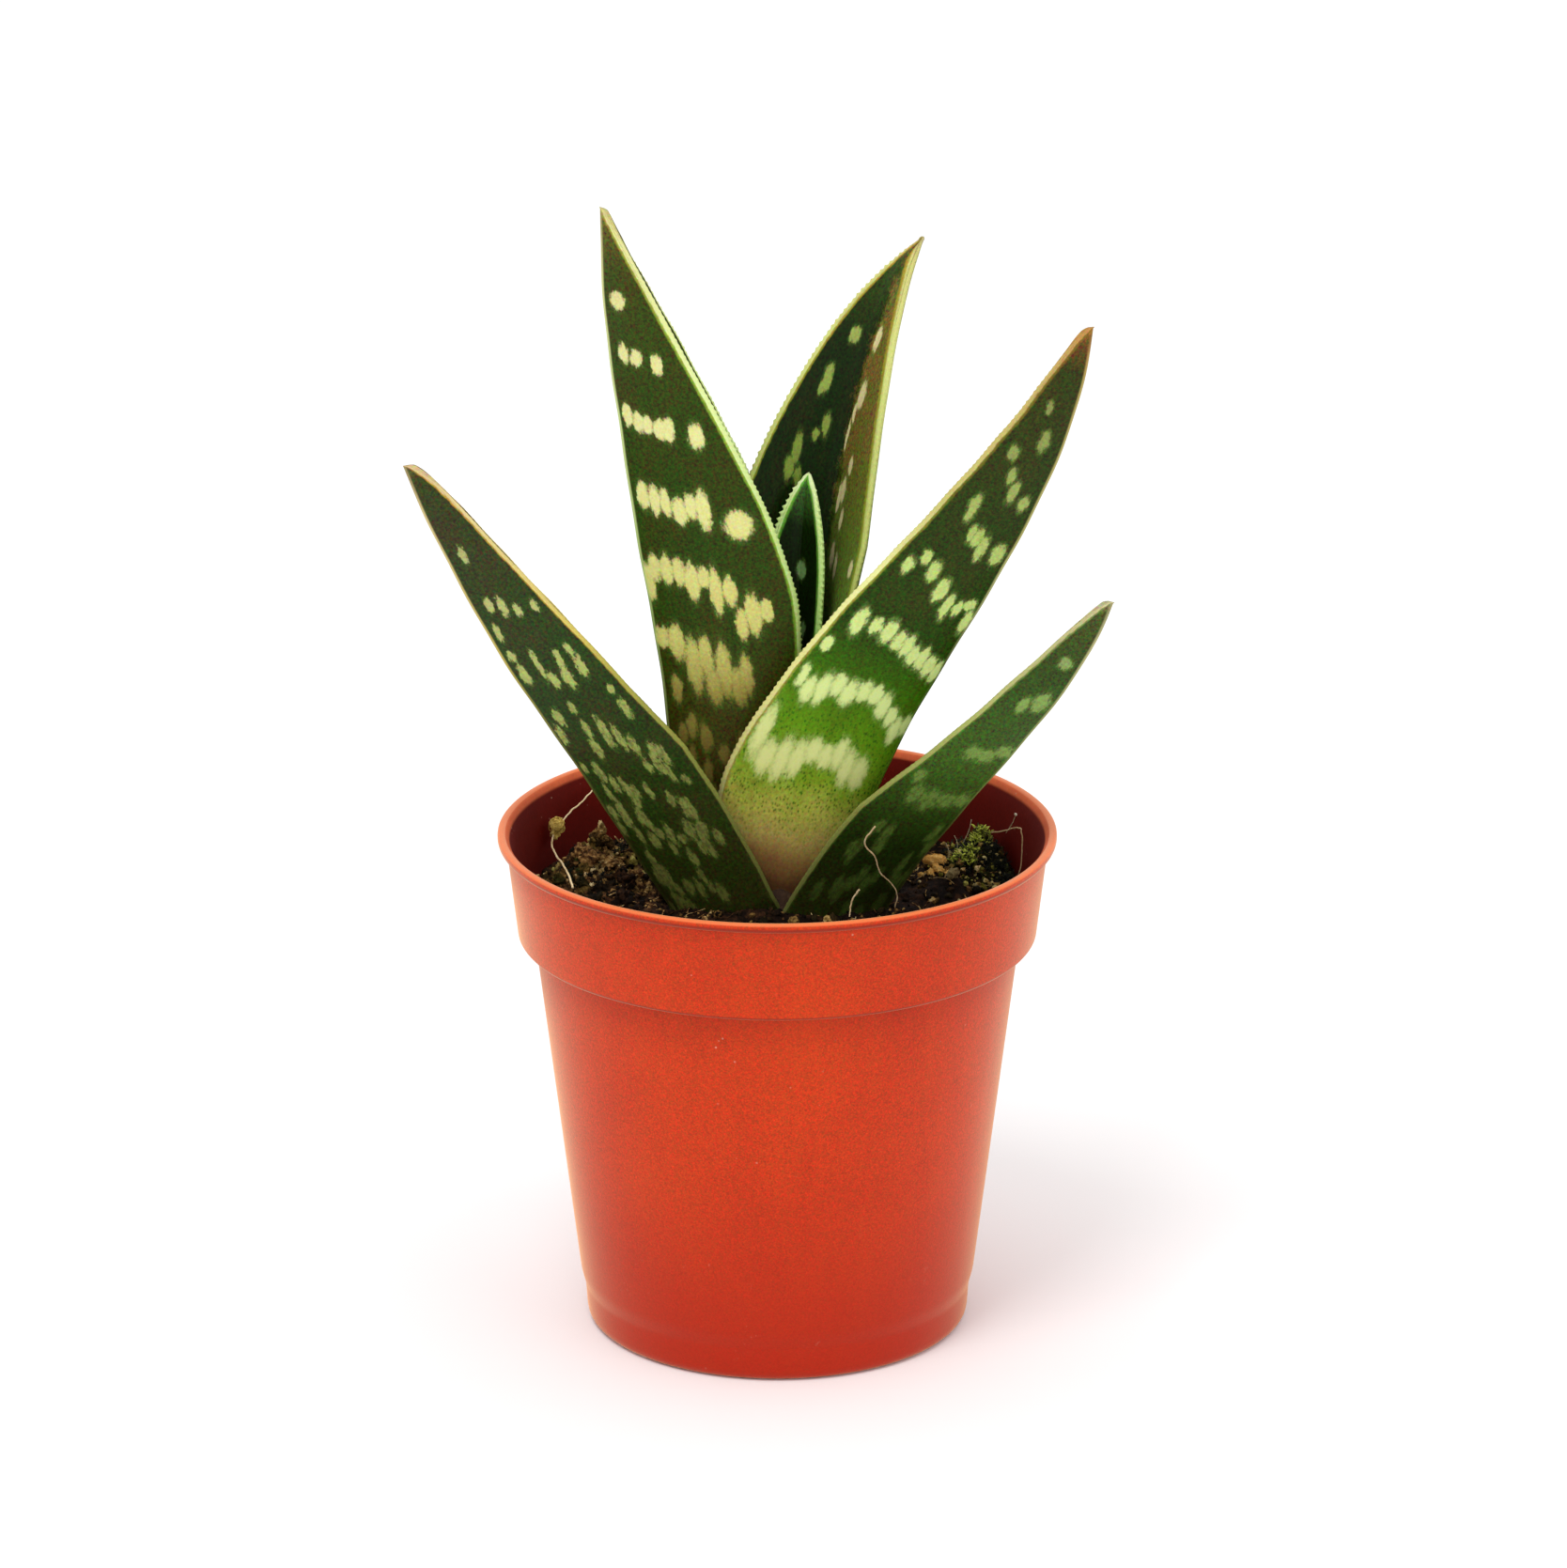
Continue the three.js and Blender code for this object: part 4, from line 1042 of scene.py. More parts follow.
def cut_drain_holes(piece):
    """Cuts a ring of round holes through the raised floor."""
    holes = Solid()
    ring, faces = revolve([(DRAIN_RADIUS, -1.0), (DRAIN_RADIUS, 5.0)], DRAIN_SIDES)
    faces += [tuple(range(DRAIN_SIDES))[::-1], tuple(range(DRAIN_SIDES, 2 * DRAIN_SIDES))]
    for i in range(DRAIN_HOLES):
        angle = 2 * math.pi * i / DRAIN_HOLES
        holes.add(ring + DRAIN_REACH * np.array((math.cos(angle), math.sin(angle), 0)), faces)
    mesh = bpy.data.meshes.new("drain_cutter")
    mesh.from_pydata((np.vstack(holes.points) * MM).tolist(), [], holes.faces)
    cutter = bpy.data.objects.new("drain_cutter", mesh)
    bpy.context.scene.collection.objects.link(cutter)
    modifier = piece.modifiers.new("drain holes", "BOOLEAN")
    modifier.object = cutter
    modifier.operation = "DIFFERENCE"
    modifier.solver = "EXACT"
    uncut = len(piece.data.vertices)
    apply_modifiers(piece)
    bpy.data.objects.remove(cutter)
    if len(piece.data.vertices) <= uncut:
        raise RuntimeError("the drain holes were not cut")


def apply_modifiers(piece):
    """Makes the evaluated mesh the piece's own."""
    evaluated = piece.evaluated_get(bpy.context.evaluated_depsgraph_get())
    mesh = bpy.data.meshes.new_from_object(evaluated)
    piece.modifiers.clear()
    piece.data = mesh


# ---------------------------------------------------------------- soil

SOIL_LEVEL, SOIL_CROWN, SOIL_RADIUS = 70.2, 1.6, 41.0
SOIL_SIDE = ((29.0, 3.8), (30.4, 9.0), (37.2, 64.0), (40.2, 69.4))  # (radius, z) inside the pot
SOIL_WAVES = ((6.5, 0.9), (2.8, 0.85), (1.2, 0.42), (0.6, 0.16))  # width and height of its lumps

# Colours of peat, from the darkest to the palest, as stops of (tone, colour).
PEAT_BROWN = (
    (0.0, (8, 4, 3)), (0.25, (24, 13, 7)), (0.45, (66, 40, 22)), (0.62, (126, 88, 50)),
    (0.8, (190, 148, 88)), (1.0, (244, 218, 160)),
)
PEAT_OLIVE = ((0.0, (12, 12, 4)), (0.4, (60, 58, 18)), (0.7, (116, 108, 36)), (1.0, (176, 168, 84)))

# Broad swellings of the soil and smaller cushions on them: centre, width and height.
CLUMPS = (
    ((-29.5, 9), 6.5, 5.2), ((-22, 20), 6, 3.4), ((-30, -14), 6, 2.4), ((32, 19), 6, 2.6),
    ((27, 4), 5, 1.4), ((6, 31), 7, 2.2), ((24, -24), 7, 1.6), ((-8, -31), 7, 1.2),
)
CUSHIONS = (
    ((33.5, 17.0), 4.6, 1.6), ((-28.9, 10.5), 1.5, 2.6), ((-24.5, 12.0), 2.2, 1.4),
    ((-34.0, 7.0), 2.4, 1.0),
)

# The heap at the left wall. Its clods are (x, y, size, tone, olive), and the lumps of its crest,
# which stand one on another at CREST_Y, are (x, z, size, tone).
HEAP_SPREAD = 110  # square millimetres
# The tones of the clods and of the crest's lumps are painted light as well as the peat's own colour: paler on
# the crest, darker in front.
CLODS = (
    (-34.3, 9.5, 1.2, 0.75, 0.5), (-32.0, 10.3, 1.5, 0.85, 0.35), (-29.8, 10.6, 1.3, 0.8, 0.4),
    (-27.9, 9.8, 1.0, 1.0, 0.1), (-26.0, 9.0, 0.9, 1.05, 0.0), (-32.6, 7.4, 1.5, 0.62, 0.1),
    (-30.2, 6.4, 1.7, 0.58, 0.0), (-27.4, 7.0, 1.4, 0.68, 0.0), (-25.2, 5.8, 1.3, 0.6, 0.0),
    (-35.6, 5.2, 1.1, 0.36, 0.6), (-23.4, 7.6, 1.2, 0.48, 0.0), (-24.0, 2.8, 1.3, 0.36, 0.0),
    (-31.6, 3.2, 1.4, 0.34, 0.4), (-27.6, 2.6, 1.7, 0.24, 0.1), (-34.4, 1.0, 1.1, 0.3, 0.5),
    (-29.4, -1.4, 1.4, 0.18, 0.2), (-25.2, -1.8, 1.3, 0.22, 0.0), (-22.2, -4.6, 1.2, 0.18, 0.0),
)
CREST_Y = 10.2
CREST = (
    (-28.4, 79.6, 0.8, 0.95), (-29.3, 78.6, 0.9, 0.75), (-28.2, 78.2, 0.9, 1.0),
    (-28.6, 80.5, 0.5, 1.05), (-27.6, 77.2, 1.0, 0.6), (-29.0, 77.2, 1.2, 0.5),
)


def hump(x, y, centre, spread):
    """A smooth hump, 1 at its centre. spread is the square of how far away it has sunk to 0.37."""
    return math.exp(-((x - centre[0]) ** 2 + (y - centre[1]) ** 2) / spread)


def soil_form(x, y):
    """The height of the soil before its crumbs."""
    z = SOIL_LEVEL + SOIL_CROWN * (1 - (x * x + y * y) / SOIL_RADIUS**2)
    return z + sum(tall * hump(x, y, centre, wide * wide) for centre, wide, tall in CLUMPS)


def soil_height(x, y):
    """The height of the soil's surface with its lumps."""
    z = soil_form(x, y)
    z += sum(tall * hump(x, y, centre, wide * wide) for centre, wide, tall in CUSHIONS)
    heaped = 1 + 1.3 * hump(x, y, (-29, 9), HEAP_SPREAD)
    for size, tall in SOIL_WAVES:
        z += tall * heaped * noise.noise(Vector((x / size, y / size, size)))
    for centre, under, wide in seats():
        z += max(under + 0.2 - z, 0) * min(1.3 * hump(x, y, centre, wide * wide), 1)
    return z


@functools.cache
def seats():
    """Where the chip and the grains rest: centre, height of their underside and reach."""
    found = []
    for name, wide in (("bark_chip", 2.6), ("grain_large", 1.6), ("grain_small", 1.3)):
        low, high = node_box(name)
        found.append((((low.x + high.x) / 2, (low.y + high.y) / 2), low.z, wide))
    return found


def soil_solid(soil):
    """The body of soil that fills the pot, its top a fine grid."""
    angles = [2 * math.pi * k / soil.sides for k in range(soil.sides)]
    points = [(radius * math.cos(a), radius * math.sin(a), z) for radius, z in SOIL_SIDE for a in angles]
    for k in range(soil.rings, 0, -1):
        radius = SOIL_RADIUS * k / soil.rings
        places = [(radius * math.cos(a), radius * math.sin(a)) for a in angles]
        points += [(x, y, soil_height(x, y)) for x, y in places]
    rows = len(SOIL_SIDE) + soil.rings
    last, middle = (rows - 1) * soil.sides, rows * soil.sides
    faces = grid_faces(rows, soil.sides)
    faces += [(last + k, last + (k + 1) % soil.sides, middle) for k in range(soil.sides)]
    faces.append(tuple(range(soil.sides))[::-1])
    points.append((0, 0, soil_height(0, 0)))
    heap = np.array([hump(x, y, (-29, 8), HEAP_SPREAD) * (z > 60) for x, y, z in points])
    ridge = np.array([math.exp(-((x + 30) ** 2) / 60 - ((y - 9) ** 2) / 16) * (z > 60) for x, y, z in points])
    solid = Solid()
    solid.add(points, faces, tone=0.3 + 0.55 * heap, olive=0.7 * ridge)
    return solid


def peat_finish(name):
    """Peat: near-black brown, with tan and olive crumbs by the tone and olive attributes."""
    finish = Finish(name)
    place = finish.millimetres()
    tone = finish.attribute("tone")
    coarse = finish.noise(place, 2.2, detail=4, roughness=0.65, seed=1.0)
    fine = finish.noise(place, 0.45, detail=4, roughness=0.7, seed=2.0)
    mixed = tone * 0.8 + (coarse - 0.5) * 1.3 * (tone + 0.5) + (fine - 0.5) * 0.9 * (tone + 0.4)
    mixed = mixed.clamped()
    brown = finish.ramp(mixed, PEAT_BROWN)
    olive = finish.ramp(mixed, PEAT_OLIVE)
    colour = finish.mix(finish.attribute("olive"), brown, olive)
    return finish.surface(
        Base_Color=colour, Roughness=0.9 - fine * 0.15,
        Normal=finish.bump(coarse + fine * 0.8, 0.0004, 0.9), Specular_IOR_Level=0.08,
    )


def crumb_solid(soil):
    """Loose crumbs of peat, thickest on the clumps."""
    draw = random.Random(11)
    solid = Solid()
    made = 0
    while made < soil.crumbs:
        radius = (SOIL_RADIUS - 1.2) * math.sqrt(draw.random())
        angle = draw.uniform(0, 2 * math.pi)
        x, y = radius * math.cos(angle), radius * math.sin(angle)
        raised = soil_form(x, y) - SOIL_LEVEL - SOIL_CROWN
        if draw.random() > 0.35 + 0.25 * max(raised, 0):
            continue
        size = 0.22 + 0.55 * draw.random() ** 3
        tone = draw.choice((0.05, 0.15, 0.3, 0.5, 0.85)) + draw.uniform(-0.08, 0.12)
        crumb = lump((x, y, soil_height(x, y) + size * 0.35), size, draw, roughness=0.42)
        solid.add(*crumb, tone=tone, olive=0.3 * draw.random())
        made += 1
    return solid


def clear_of_root(x, y):
    """Whether a place on the heap leaves the root that crosses its front in view."""
    return x > -31 or y > 9


def heap_solid():
    """The heap at the left: lumps of peat with pale flakes and dry twigs between them."""
    draw = random.Random(17)
    solid = Solid()
    for x, y, size, tone, olive in CLODS:
        for _ in range(3):
            near = (x + draw.gauss(0, 0.5) * size, y + draw.gauss(0, 0.5) * size)
            place = (*near, soil_height(*near) + size * draw.uniform(-0.15, 0.3))
            clod = lump(place, size * draw.uniform(0.55, 0.9), draw, subdivisions=3, roughness=0.5)
            solid.add(*clod, tone=tone + 0.1 + draw.uniform(-0.12, 0.14), olive=olive)
    for _ in range(900):
        x, y = draw.gauss(-29.0, 5.0), draw.gauss(6.0, 7.0)
        size = 0.16 + 0.45 * draw.random() ** 2.2
        if math.hypot(x, y) > SOIL_RADIUS - 0.6 - size or not (clear_of_root(x, y) or size < 0.4):
            continue
        # painted light: crumbs behind y = 2, towards the crest, are paler, and those in front are darker
        lit = 0.22 if y > 2 else -0.16
        tone = draw.choice((0.25, 0.4, 0.5, 0.6, 0.7, 0.9)) + lit + draw.uniform(-0.08, 0.08)
        z = soil_height(x, y) + size * draw.uniform(-0.3, 0.4)
        grit = lump((x, y, z), size, draw, subdivisions=2, roughness=0.42)
        solid.add(*grit, tone=tone, olive=draw.choice((0, 0, 0.2) if y < 7 else (0, 0.4, 0.9)))
    for x, z, size, tone in CREST:
        clod = lump((x, CREST_Y, z), size, draw, subdivisions=3, roughness=0.45)
        solid.add(*clod, tone=tone, olive=0.2)
    for _ in range(70):
        x, y = draw.gauss(-28.5, 4.2), draw.gauss(9.0, 5.0)
        if math.hypot(x, y) < SOIL_RADIUS - 3.5 and clear_of_root(x, y):
            place = (x, y, soil_height(x, y) + 0.5)
            add_shard(solid, draw, place, draw.uniform(0.8, 2.2), draw.uniform(0.75, 1.15))
    add_shard(solid, draw, (-28.8, CREST_Y, 80.2), 2.0, 1.0, (0.3, 0.1, 0.9))
    return solid


def add_shard(solid, draw, place, length, tone, heading=None):
    """A flat splinter of bark or twig."""
    if heading is None:
        heading = (draw.uniform(-1, 1), draw.uniform(-1, 1), draw.uniform(-0.2, 0.7))
    heading = np.array(heading) / np.linalg.norm(heading)
    side = np.cross(heading, (0.2, 0.1, 1.0))
    side /= np.linalg.norm(side)
    wide = length * draw.uniform(0.09, 0.16)
    path = []
    for k in range(6):
        path.append(np.array(place) + heading * length * (k / 5 - 0.5) + side * draw.uniform(-0.08, 0.08))
    points, faces = tube(np.array(path), [wide * r for r in (0.45, 0.9, 1.0, 0.95, 0.7, 0.3)], 6)
    across = np.cross(heading, side)
    points = points - np.outer((points - place) @ across * 0.5, across)
    solid.add(points, faces, tone=tone, olive=0.0)


def fibre_solid(soil):
    """Fine fibres that lie on the peat."""
    draw = random.Random(23)
    solid = Solid()
    for _ in range(soil.fibres):
        radius = (SOIL_RADIUS - 3.5) * math.sqrt(draw.random())
        angle = draw.uniform(0, 2 * math.pi)
        x, y = radius * math.cos(angle), radius * math.sin(angle)
        heading = draw.uniform(0, 2 * math.pi)
        length = draw.uniform(1.5, 5.5)
        path = []
        for k in range(7):
            heading += draw.uniform(-0.5, 0.5)
            path.append((x, y, soil_height(x, y) + 0.25 + draw.uniform(0, 0.35)))
            x += length / 6 * math.cos(heading)
            y += length / 6 * math.sin(heading)
            if math.hypot(x, y) > SOIL_RADIUS - 0.8:
                break
        if len(path) > 2:
            thick = draw.uniform(0.04, 0.09)
            fibre = tube(np.array(path), [thick] * len(path), 4)
            solid.add(*fibre, tone=draw.uniform(0.45, 1.05), olive=0.0)
    return solid


# ---------------------------------------------------------------- moss

# Centre, spread, number of shoots, height of the tallest and brightness, partly the moss's colour and partly
# painted light.
MOSS_PATCHES = (
    ((33.5, 15.5), 5.4, 300, 1.5, 0.28),
    ((32.8, 18.0), 1.7, 70, 2.6, 1.1),
    ((30.6, 14.2), 2.0, 80, 2.0, 1.2),
    ((35.5, 13.5), 3.0, 80, 1.8, 0.4),
    ((37.0, 9.0), 2.6, 50, 1.2, 0.3),
    ((-25.0, 17.0), 3.4, 50, 1.6, 0.25),
    ((-32.5, 6.5), 2.4, 80, 1.0, 0.42),
    ((-28.0, 4.0), 3.0, 40, 0.9, 0.3),
)
MOSS_LEAF_FACES = ((0, 1, 4), (1, 2, 4), (2, 3, 4), (3, 0, 4), (0, 3, 2, 1))
MOSS_COLOURS = (
    (0.0, (10, 12, 4)), (0.12, (30, 34, 10)), (0.24, (84, 90, 18)), (0.36, (170, 184, 42)),
    (0.5, (230, 238, 104)), (0.7, (190, 176, 130)), (1.0, (236, 228, 204)),
)
HAIRS = (  # foot, tip and whether it has a pale capsule
    ((30.3, 15.5, 75.4), (31.6, 15.0, 79.6), False),
    ((29.3, 14.0, 74.6), (28.8, 13.4, 77.4), False),
    ((37.3, 16.9, 76.6), (38.8, 14.6, 80.6), True),
    ((27.9, 13.0, 73.5), (27.4, 12.6, 76.4), False),
)


def moss_solid():
    """Short leafy shoots, each a stalk with pointed leaves round it."""
    draw = random.Random(31)
    solid = Solid()
    for (cx, cy), spread, shoots, tallest, bright in MOSS_PATCHES:
        for _ in range(shoots):
            x, y = cx + draw.gauss(0, spread * 0.5), cy + draw.gauss(0, spread * 0.5)
            if math.hypot(x, y) > SOIL_RADIUS - 1.0:
                continue
            # partly painted light: some shoots are drawn pale as if lit, and the rest dark
            lit = draw.uniform(0.9, 1.3) if draw.random() < 0.42 * bright else draw.uniform(0.1, 0.55)
            tone = min(max(bright * lit, 0.04), 1)
            foot = np.array((x, y, soil_height(x, y) - 0.1))
            moss_shoot(solid, draw, foot, tallest * draw.uniform(0.4, 1), tone)
    for foot, tip, capsule in HAIRS:
        middle = (np.array(foot) + tip) / 2 + (0.25, 0, 0.1)
        solid.add(*tube(smooth_path([foot, middle, tip], 5), np.full(11, 0.06), 5), tone=1.6)
        if capsule:
            solid.add(*lump(tip, 0.28, draw, roughness=0.1), tone=2.0)
    return solid


def moss_shoot(solid, draw, foot, tall, tone):
    """One shoot of moss."""
    top = foot + np.array((draw.uniform(-0.6, 0.6), draw.uniform(-0.6, 0.6), tall))
    solid.add(*tube(np.array([foot, (foot + top) / 2, top]), [0.07, 0.06, 0.04], 3), tone=tone * 0.7)
    grown = 0.75 + 0.6 * min(tone, 1)
    for _ in range(draw.randint(8, 12)):
        root = foot + (top - foot) * (0.2 + 0.8 * draw.random())
        heading = draw.uniform(0, 2 * math.pi)
        out = np.array((math.cos(heading), math.sin(heading), draw.uniform(0.2, 1.2)))
        out /= np.linalg.norm(out)
        side = np.cross(out, (0, 0, 1))
        side /= np.linalg.norm(side)
        under = np.cross(side, out)
        reach, wide = draw.uniform(0.45, 0.9) * grown, draw.uniform(0.1, 0.18) * grown
        middle = root + out * reach * 0.45
        leaf = [root, middle + side * wide, root + out * reach, middle - side * wide,
                middle + under * wide * 0.6]
        solid.add(leaf, MOSS_LEAF_FACES, tone=tone * draw.uniform(0.7, 1.1))


def litter_solid():
    """Pale crumbs and splinters caught in the moss."""
    draw = random.Random(41)
    solid = Solid()
    for _ in range(280):
        x, y = draw.gauss(32.6, 3.6), draw.gauss(12.5, 5.0)
        size = 0.14 + 0.42 * draw.random() ** 2
        if math.hypot(x, y) < SOIL_RADIUS - 1.5:
            z = soil_height(x, y) + draw.uniform(0.1, 1.1)
            crumb = lump((x, y, z), size, draw, subdivisions=2, roughness=0.45)
            tone = draw.choice((0.25, 0.5, 0.75, 1.0, 1.3))
            solid.add(*crumb, tone=tone, olive=draw.choice((0, 0.4, 1.0)))
    for _ in range(26):
        x, y = draw.gauss(33.0, 3.0), draw.gauss(14.0, 4.0)
        if math.hypot(x, y) < SOIL_RADIUS - 3.0:
            place = (x, y, soil_height(x, y) + 0.7)
            add_shard(solid, draw, place, draw.uniform(0.8, 2.0), draw.uniform(0.7, 1.1))
    return solid


def moss_finish():
    """Moss, from nearly black through green to yellow-green by the tone attribute."""
    finish = Finish("moss")
    fine = finish.noise(finish.millimetres(), 0.6, detail=3, seed=1.0)
    mixed = finish.attribute("tone") * 0.5 + (fine - 0.5) * 0.25
    return finish.surface(
        Base_Color=finish.ramp(mixed, MOSS_COLOURS), Roughness=0.6 + fine * 0.2,
        Normal=finish.bump(fine, 0.00015, 0.6), Specular_IOR_Level=0.3,
    )


# ---------------------------------------------------------------- stem and loose pieces

STEM_OUTLINE = ((5.2, 50), (6.4, 60), (6.2, 70), (5, 74), (4, 78), (2.6, 80))  # (radius, z)
STEM_TOP, STEM_SIDES = 80.6, 48
ROOTS = {
    "root_left": (
        (-32.9, -3.5, 74.5), (-33.6, 1.9, 74.6), (-34.8, 7, 74.8), (-36.1, 13, 74.3),
        (-36.8, 16.4, 75.2), (-35.9, 18.2, 77), (-33.8, 22.6, 78.4), (-32, 25, 79.2),
        (-30.3, 27.6, 80.4),
    ),
    "root_right": (
        (33.6, 20.2, 75.4), (36.2, 17.6, 76.6), (39, 12.2, 79.2), (39.7, 11, 78.6), (39.7, 9.6, 75),
        (39.2, 8.6, 72.2),
    ),
    "root_front": (
        (15.6, -15, 89), (13.9, -13.9, 85.8), (15.5, -12.6, 83.1), (16.5, -11, 79.6), (18, -9.5, 77.7),
        (19.2, -8.3, 75.1), (18.9, -7.7, 72.6),
    ),
    "root_short": ((13.2, -10.8, 76.8), (12.1, -10.7, 75.2), (11.7, -11.1, 73.4), (11.6, -11.5, 72.4)),
}
ROOT_RADII = {"root_left": 0.19, "root_right": 0.12, "root_front": 0.14, "root_short": 0.16}
WOBBLE_SEED = 5
KNOT, KNOT_RADIUS = (-35.9, 17.9, 77.6), 1.5
GRAINS = {"grain_large": 1.0, "grain_small": 0.75}  # radius

# Dry fibrous surfaces: the dark, middle and pale colour, the width of the streaks in millimetres and
# the depth of the relief in metres.
DRY_LOOKS = {
    "old_stem": (((30, 18, 10), (62, 40, 24), (100, 74, 46)), 2.4, 0.0003),
    "bark": (((170, 104, 36), (240, 184, 92), (255, 236, 172)), 0.5, 0.0002),
    "mineral": (((66, 52, 30), (124, 106, 66), (188, 172, 122)), 0.8, 0.0001),
    "dry_root": (((150, 112, 68), (218, 186, 138), (250, 232, 196)), 1.2, 0.0001),
    # painted light: dry_root made paler for the left root, to show it lit
    "pale_root": (((188, 148, 96), (248, 220, 168), (255, 244, 212)), 1.2, 0.0001),
    "knot": (((110, 90, 26), (232, 198, 96), (255, 244, 176)), 0.5, 0.0002),
}


def stem_solid():
    """The stem, ringed by the scars of old leaves."""
    profile = smooth_path([(r, z) for r, z in STEM_OUTLINE], 6)
    points, faces = revolve(profile, STEM_SIDES)
    rings = np.sin(points[:, 2] * 2.4) * 0.12
    rough = np.array([noise.noise(Vector(p) * 0.5) * 0.3 for p in points])
    points[:, :2] *= (1 + (rings + rough) / 6)[:, None]
    points[:, :2] += np.array(STEM_AXIS)
    faces.append(tuple(range(STEM_SIDES))[::-1])
    apex, last = len(profile) * STEM_SIDES, (len(profile) - 1) * STEM_SIDES
    faces += [(last + k, last + (k + 1) % STEM_SIDES, apex) for k in range(STEM_SIDES)]
    solid = Solid()
    solid.add(np.vstack([points, [(*STEM_AXIS, STEM_TOP)]]), faces)
    return solid


def dry_finish(name):
    """A dry fibrous surface: bark, root or old stem."""
    colours, size, depth = DRY_LOOKS[name]
    finish = Finish(name)
    place = finish.millimetres()
    drawn_out = finish.vector("MULTIPLY", place, (1.0, 1.0, 0.35))
    streaks = finish.noise(drawn_out, size, detail=4, roughness=0.7, seed=1.0)
    fine = finish.noise(place, size / 4, detail=3, roughness=0.7, seed=2.0)
    mixed = ((streaks - 0.5) * 1.3 + (fine - 0.5) * 0.7 + 0.5).clamped()
    return finish.surface(
        Base_Color=finish.ramp(mixed, list(zip((0, 0.5, 1), colours))), Roughness=0.75 + fine * 0.15,
        Normal=finish.bump(streaks + fine * 0.6, depth, 0.8), Specular_IOR_Level=0.3,
    )


def chip_solid():
    """A scrap of bark: a core with frayed fibres that lie along it, and its crumbs in front."""
    low, high = node_box("bark_chip")
    centre, size = np.array((low + high) / 2), np.array((high - low) / 2)
    draw = random.Random(5)
    points, faces = ICOSPHERES[3]
    ragged = [1 + 0.35 * noise.noise(Vector(p) * 1.7) + 0.15 * noise.noise(Vector(p) * 5) for p in points]
    solid = Solid()
    solid.add(points * size * 0.8 * np.array(ragged)[:, None] + centre, faces)
    for _ in range(420):
        out = np.array([draw.gauss(0, 1) for _ in range(3)])
        out /= np.linalg.norm(out)
        lying = np.array((-0.8, draw.uniform(-0.5, 0.5), draw.uniform(-0.6, 0.3)))
        lying -= out * lying.dot(out) * 0.6
        reach = draw.uniform(0.25, 0.75)
        path = [centre + out * size * (0.78 + 0.05 * k) + lying * reach * k / 4 for k in range(5)]
        path = np.clip(np.array(path), centre - size * 1.1, centre + size * 1.05)
        thick = draw.uniform(0.03, 0.06)
        solid.add(*tube(path, [thick, thick, thick, thick * 0.8, thick * 0.4], 4))
    for _ in range(34):
        x, y = centre[0] + draw.gauss(0.3, 1.1), low.y - abs(draw.gauss(0, 0.8)) + 0.3
        crumb = draw.uniform(0.16, 0.5)
        place = (x, y, soil_height(x, y) + crumb * 0.6)
        solid.add(*lump(place, crumb, draw, subdivisions=2, roughness=0.5))
    return solid


def grain_solid(name, size):
    """A pale mineral grain where its plain solid lies."""
    low, high = node_box(name)
    draw = random.Random(len(name) + int(size * 10))
    points, faces = lump((0, 0, 0), size, draw, subdivisions=3, roughness=0.28)
    solid = Solid()
    solid.add(points + np.array((low + high) / 2), faces)
    return solid


def root_solid(name):
    """A wiry root, a little uneven."""
    path = smooth_path(ROOTS[name], 10)
    offset = random.Random(sum(map(ord, name))).uniform(0, 50)
    steps = range(len(path))
    noise.seed_set(WOBBLE_SEED)  # without it noise_vector differs from run to run
    wobble = [noise.noise_vector(Vector((k * 0.35 + offset, 0, 0))) for k in steps]
    swelling = np.array([noise.noise(Vector((k * 0.8, offset, 3))) for k in steps])
    radii = ROOT_RADII[name] * (1 - 0.35 * np.linspace(0, 1, len(path))) * (1 + 0.25 * swelling)
    solid = Solid()
    solid.add(*tube(path + np.array(wobble) * 0.12, radii, 8))
    return solid


def knot_solid():
    """Fibres wound round a crumb of peat, with a smaller crumb under it."""
    draw = random.Random(77)
    solid = Solid()
    centre = np.array(KNOT)
    below = centre + (-0.5, 0.0, -1.5)
    peat = lump(KNOT, KNOT_RADIUS * 0.72, draw, subdivisions=2, roughness=0.4)
    solid.add(*peat, tone=0.8, olive=0.5)
    dry_moss = lump(below, KNOT_RADIUS * 0.5, draw, subdivisions=2, roughness=0.5)
    solid.add(*dry_moss, tone=0.7, olive=0.7)
    for _ in range(46):
        turn = random_turn(draw)
        start, sweep = draw.uniform(0, 2 * math.pi), draw.uniform(1.2, 3.2)
        radius = KNOT_RADIUS * draw.uniform(0.7, 1.0)
        path = []
        for k in range(8):
            angle = start + sweep * k / 7
            reach = radius * (1 + 0.12 * draw.uniform(-1, 1))
            level = (reach * math.cos(angle), reach * math.sin(angle), draw.uniform(-0.1, 0.1))
            path.append(turn @ np.array(level) + centre)
        fibre = tube(np.array(path), [draw.uniform(0.05, 0.09)] * 8, 4)
        solid.add(*fibre, tone=draw.uniform(0.7, 1.2), olive=draw.choice((0.1, 0.6)))
    return solid


# ---------------------------------------------------------------- camera, floor and light

CAMERA_TILT = 19.09  # degrees below level
CAMERA_DISTANCE = 1300.0
CAMERA_AIM = (1.011, 0.0, 90.92)
PICTURE_WIDTH = 1668  # pixels
FOCAL_PIXELS = 6.625 * CAMERA_DISTANCE  # pixels a millimetre at the aim, times the distance
SENSOR = 36.0

# Softboxes: place and width, in metres. They are turned to LIGHT_AIM.
LIGHTS = {"key": ((-0.35, -0.75, 1.6), 0.5), "fill": ((1.0, -0.9, 0.6), 0.8)}
LIGHT_AIM = (0, 0, 0.1)


